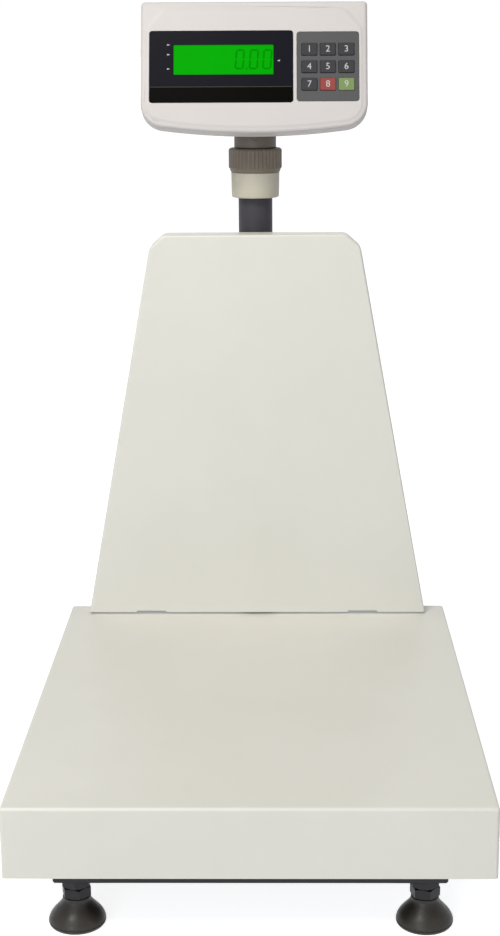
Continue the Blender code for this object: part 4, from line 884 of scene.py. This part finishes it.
OVERLAY_Y = FACE_Y + 0.0002
OVERLAY_THICKNESS = 0.0011
GLASS_Y = OVERLAY_Y + 0.0004
GLASS_THICKNESS = 0.0006
DIGIT_WIDTH = 0.0092
DIGIT_HEIGHT = 0.0205
DIGIT_BAR = 0.0017
DIGIT_GAP = 0.00025
DIGIT_SLANT = 0.07
DIGIT_LEFTS = (-0.0195, -0.0055, 0.0078)
DIGITS_BELOW_GLASS_CENTRE = 0.0100
POINT_LEFT, POINT_RIGHT = -0.0083, -0.0066
LINE_BELOW_CENTRE = 0.0172
LINE_HEIGHT = 0.0006
PRINT_MARGIN = 0.0010
POINTER_DISTANCE = 0.0035
POINTER_LENGTH = 0.0030
POINTER_HALF = 0.0009


def zero_bars():
    """The six lit bars of a display's zero, as outlines from its lower left corner."""
    width, bar, gap = DIGIT_WIDTH, DIGIT_BAR, DIGIT_GAP
    half = bar / 2

    def level(z):
        return [
            (half + gap, z), (bar + gap, z + half), (width - bar - gap, z + half), (width - half - gap, z),
            (width - bar - gap, z - half), (bar + gap, z - half),
        ]

    def upright(x, z0, z1):
        return [
            (x, z0 + gap), (x + half, z0 + half + gap), (x + half, z1 - half - gap), (x, z1 - gap),
            (x - half, z1 - half - gap), (x - half, z0 + half + gap),
        ]

    low, middle, high = half, DIGIT_HEIGHT / 2, DIGIT_HEIGHT - half
    return [
        level(high), upright(width - half, middle, high), upright(width - half, low, middle), level(low),
        upright(half, low, middle), upright(half, middle, high),
    ]


def thin_shapes(outlines, front, back):
    """Several flat outlines as one thin raised mesh on the face."""
    bm = bmesh.new()
    for outline in outlines:
        near = [bm.verts.new((x, front, z)) for x, z in outline]
        far = [bm.verts.new((x, back, z)) for x, z in outline]
        bm.faces.new(near)
        bm.faces.new(list(reversed(far)))
        for i in range(len(near)):
            j = (i + 1) % len(near)
            bm.faces.new((near[j], near[i], far[i], far[j]))
    return linked(mesh_from(bm))


def make_display():
    outlines = [centred(DISPLAY, -OVERLAY_GAP, OVERLAY_RADIUS), centred(GLASS, 0.0, 0.0008)]
    overlay = bevel(prism(outlines, OVERLAY_Y, OVERLAY_Y + OVERLAY_THICKNESS), OVERLAY_EDGE)
    place(overlay, "display_overlay", "display_black", "head", ["display_window"], HEAD)

    glass = prism([centred(GLASS, -0.0004, 0.0006)], GLASS_Y, GLASS_Y + GLASS_THICKNESS)
    place(glass, "display_glass", "lcd_green", "head", (), HEAD)

    base = CENTRE_Z + GLASS[1] - DIGITS_BELOW_GLASS_CENTRE
    outlines = [
        [(left + u + DIGIT_SLANT * v, base + v) for u, v in bar]
        for left in DIGIT_LEFTS for bar in zero_bars()
    ]
    outlines.append(rectangle(POINT_LEFT, base, POINT_RIGHT, base + DIGIT_BAR))
    digits = thin_shapes(outlines, GLASS_Y - 0.00008, GLASS_Y + 0.0002)
    place(digits, "display_digits", "lcd_digit", "head", (), HEAD)


def make_prints():
    """The lower band of the overlay, a thin line above it and plain pointers beside the glass."""
    x, up, width, height = DISPLAY
    low = CENTRE_Z + up - height / 2 + PRINT_MARGIN
    line = CENTRE_Z - LINE_BELOW_CENTRE
    left, right = x - (width / 2 - PRINT_MARGIN), x + (width / 2 - PRINT_MARGIN)
    glass_x, _, glass_width, _ = GLASS
    pointers = []
    for side, heights in ((-1, (0.0260, 0.0160, 0.0015)), (1, (0.0095,))):
        tip = glass_x + side * (glass_width / 2) + side * POINTER_DISTANCE
        for z in heights:
            z += CENTRE_Z
            base, half = tip + side * POINTER_LENGTH, side * POINTER_HALF
            pointers.append([(tip, z), (base, z - half), (base, z + half)])
    for name, paint, outlines, raised in (
        ("display_band", "band_black", [rectangle(left, low, right, line - 0.0002)], 0.00004),
        ("display_line", "print_line", [rectangle(left, line, right, line + LINE_HEIGHT)], 0.00005),
        ("display_pointers", "print_white", pointers, 0.00005),
    ):
        shape = thin_shapes(outlines, OVERLAY_Y - raised, OVERLAY_Y + 0.0002)
        place(shape, name, paint, "head", (), HEAD)


# Keypad: an overlay with nine keys in it

KEYPAD_BACK_Y = FACE_Y + RECESS_DEPTH - FIT
KEYPAD_THICKNESS = 0.0013
KEY_WIDTH = 0.0154
KEY_HEIGHT = 0.0124
KEY_STEP_X = 0.0183
KEY_STEP_Z = 0.0178
KEYS_UP = 0.0030
KEY_FRONT_Y = FACE_Y - 0.0009
KEY_BACK_Y = KEYPAD_BACK_Y + 0.0013
KEY_RADIUS = 0.0012
KEY_EDGE = 0.0006
KEY_RIM = 0.0007
KEY_HOLE_GAP = 0.0006
KEY_HOLE_RADIUS = 0.0013
NUMERAL_SIZE = 0.0092


def numeral(text):
    """A flat numeral centred on the origin, upright behind the front."""
    curve = bpy.data.curves.new("numeral", "FONT")
    curve.body = text
    curve.size = NUMERAL_SIZE
    curve.align_x = "CENTER"
    curve.align_y = "CENTER"
    curve.extrude = 0.00004
    obj = applied(linked(curve))
    obj.data.transform(UPRIGHT)
    return obj


def key_outline(grow, radius):
    half_width, half_height = KEY_WIDTH / 2 + grow, KEY_HEIGHT / 2 + grow
    return rounded_rectangle(-half_width, -half_height, half_width, half_height, radius)


def make_key(number, x, up):
    """A cap with a rounded front edge and a rim behind the overlay, and its numeral."""
    rim, body = key_outline(KEY_RIM, KEY_RADIUS), key_outline(0.0, KEY_RADIUS)
    sections = [(KEY_BACK_Y, rim), (KEYPAD_BACK_Y + FIT, rim), (KEYPAD_BACK_Y + FIT, body)]
    sections += [
        (KEY_FRONT_Y + set_back, key_outline(-inset, KEY_RADIUS - inset))
        for set_back, inset in quarter(KEY_EDGE, 4)
    ]
    name = "key_" + str(number)
    paint = {8: "key_red", 9: "key_green"}.get(number, "key_grey")
    at = HEAD @ Matrix.Translation((x, 0.0, CENTRE_Z + up))
    place(loft(sections, 35.0), name + "_cap", paint, name, [name], at)
    lifted = Matrix.Translation((0.0, KEY_FRONT_Y - 0.00002, 0.0))
    place(numeral(str(number)), name + "_numeral", "print_white", name, (), at @ lifted)


def make_keypad():
    keys = [
        (row * 3 + column + 1, KEYPAD[0] + (column - 1) * KEY_STEP_X, KEYS_UP + (1 - row) * KEY_STEP_Z)
        for row in range(3) for column in range(3)
    ]
    outlines = [centred(KEYPAD, -OVERLAY_GAP, OVERLAY_RADIUS)]
    outlines += [centred((x, up, KEY_WIDTH, KEY_HEIGHT), KEY_HOLE_GAP, KEY_HOLE_RADIUS) for _, x, up in keys]
    panel = bevel(prism(outlines, KEYPAD_BACK_Y - KEYPAD_THICKNESS, KEYPAD_BACK_Y), OVERLAY_EDGE)
    place(panel, "keypad_overlay", "keypad_grey", "head", ["keypad_panel"], HEAD)
    for key in keys:
        make_key(*key)


# Every other solid keeps its shape, with softened edges where its width is not zero

SOFTENED = {
    "base_frame": 0.0, "upper_frame": 0.0, "column_bracket": 0.0006,
    "cell_spacer_lower": 0.0004, "cell_spacer_upper": 0.0004, "shield_clamp_lower": 0.0004,
    "shield_clamp_upper": 0.0004, "bracket_bolt_left": 0.0003, "bracket_bolt_right": 0.0003,
    "column_bolt": 0.0003, "shield_bolt_lower": 0.0003, "shield_bolt_upper": 0.0003, "tilt_pin": 0.0003,
    "main_board": 0.0001, "keypad_board": 0.0001, "lcd_module": 0.0003, "battery": 0.0010,
    "power_switch_frame": 0.0003, "power_rocker": 0.0003, "charger_socket": 0.0002,
}
for corner_name in CORNERS:
    SOFTENED["platter_pad_" + corner_name] = 0.0006
    SOFTENED["overload_stop_" + corner_name] = 0.0003


def make_load_cell():
    """The load cell with softened edges, on a mesh of its own."""
    cell = softened("load_cell", 0.0004)
    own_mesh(cell)


# Floor, light and backdrop

FLOOR_GREY = 0.75
FLOOR_GLOW = 0.85
SKY = (0.343, 0.358, 0.394)
WHITE = (1.0, 1.0, 1.0)
WARM = (1.0, 0.96, 0.84)
COOL = (0.94, 0.98, 1.10)
LAMP_AIM = Vector((0.0, -0.05, 0.30))


def seen_directly(tree):
    """1 for rays that show the surface itself: from the camera, in a reflection or through glass."""
    path = node_of(tree, "ShaderNodeLightPath")
    first = node_of(tree, "ShaderNodeMath", operation="MAXIMUM")
    second = node_of(tree, "ShaderNodeMath", operation="MAXIMUM")
    tree.links.new(path.outputs["Is Camera Ray"], first.inputs[0])
    tree.links.new(path.outputs["Is Glossy Ray"], first.inputs[1])
    tree.links.new(first.outputs[0], second.inputs[0])
    tree.links.new(path.outputs["Is Transmission Ray"], second.inputs[1])
    return second.outputs[0]


def make_floor():
    """A pale floor that keeps the shadow and is near white where it is seen directly."""
    bm = bmesh.new()
    bmesh.ops.create_grid(bm, x_segments=1, y_segments=1, size=60.0)
    floor = linked(mesh_from(bm, "floor", outward=False), "floor")
    floor.location.z = -0.0001
    made = bpy.data.materials.new("floor_white")
    made.use_nodes = True
    tree = made.node_tree
    shader = tree.nodes["Principled BSDF"]
    shader.inputs["Base Color"].default_value = (FLOOR_GREY, FLOOR_GREY, FLOOR_GREY, 1.0)
    shader.inputs["Roughness"].default_value = 0.9
    shader.inputs["Specular IOR Level"].default_value = 0.0
    shader.inputs["Emission Color"].default_value = (*WHITE, 1.0)
    strength = node_of(tree, "ShaderNodeMath", operation="MULTIPLY")
    strength.inputs[1].default_value = FLOOR_GLOW
    tree.links.new(seen_directly(tree), strength.inputs[0])
    tree.links.new(strength.outputs[0], shader.inputs["Emission Strength"])
    floor.data.materials.append(made)


def make_world():
    """An even pale sky. What is seen of it directly is white."""
    world = bpy.data.worlds.new("studio")
    bpy.context.scene.world = world
    world.use_nodes = True
    tree = world.node_tree
    colour = blend_colours(tree, seen_directly(tree), SKY, WHITE)
    tree.links.new(colour, tree.nodes["Background"].inputs["Color"])


def make_lamp(name, stand, size, energy, colour):
    data = bpy.data.lights.new(name, "AREA")
    data.shape = "SQUARE"
    data.size = size
    data.energy = energy
    data.color = colour
    lamp = linked(data, name)
    lamp.location = stand
    lamp.rotation_mode = "QUATERNION"
    lamp.rotation_quaternion = (LAMP_AIM - lamp.location).to_track_quat("-Z", "Y")
    lamp.visible_camera = False


make_camera()
make_world()
make_floor()
make_lamp("key", (-1.0, -1.7, 2.85), 1.0, 53.0, WARM)
make_lamp("near", (-0.25, -0.75, 1.75), 0.5, 4.2, WARM)
make_lamp("low", (-1.4, -3.8, 1.2), 2.0, 39.0, COOL)
make_materials()
make_platter()
softened("shield", 0.0)
for corner_name in CORNERS:
    make_foot(corner_name)
make_column()
make_socket()
make_collar()
make_neck()
make_front_shell()
make_rear_shell()
make_display()
make_prints()
make_keypad()
for node_name, edge_width in SOFTENED.items():
    softened(node_name, edge_width)
make_load_cell()

bpy.context.scene.view_settings.view_transform = "Standard"
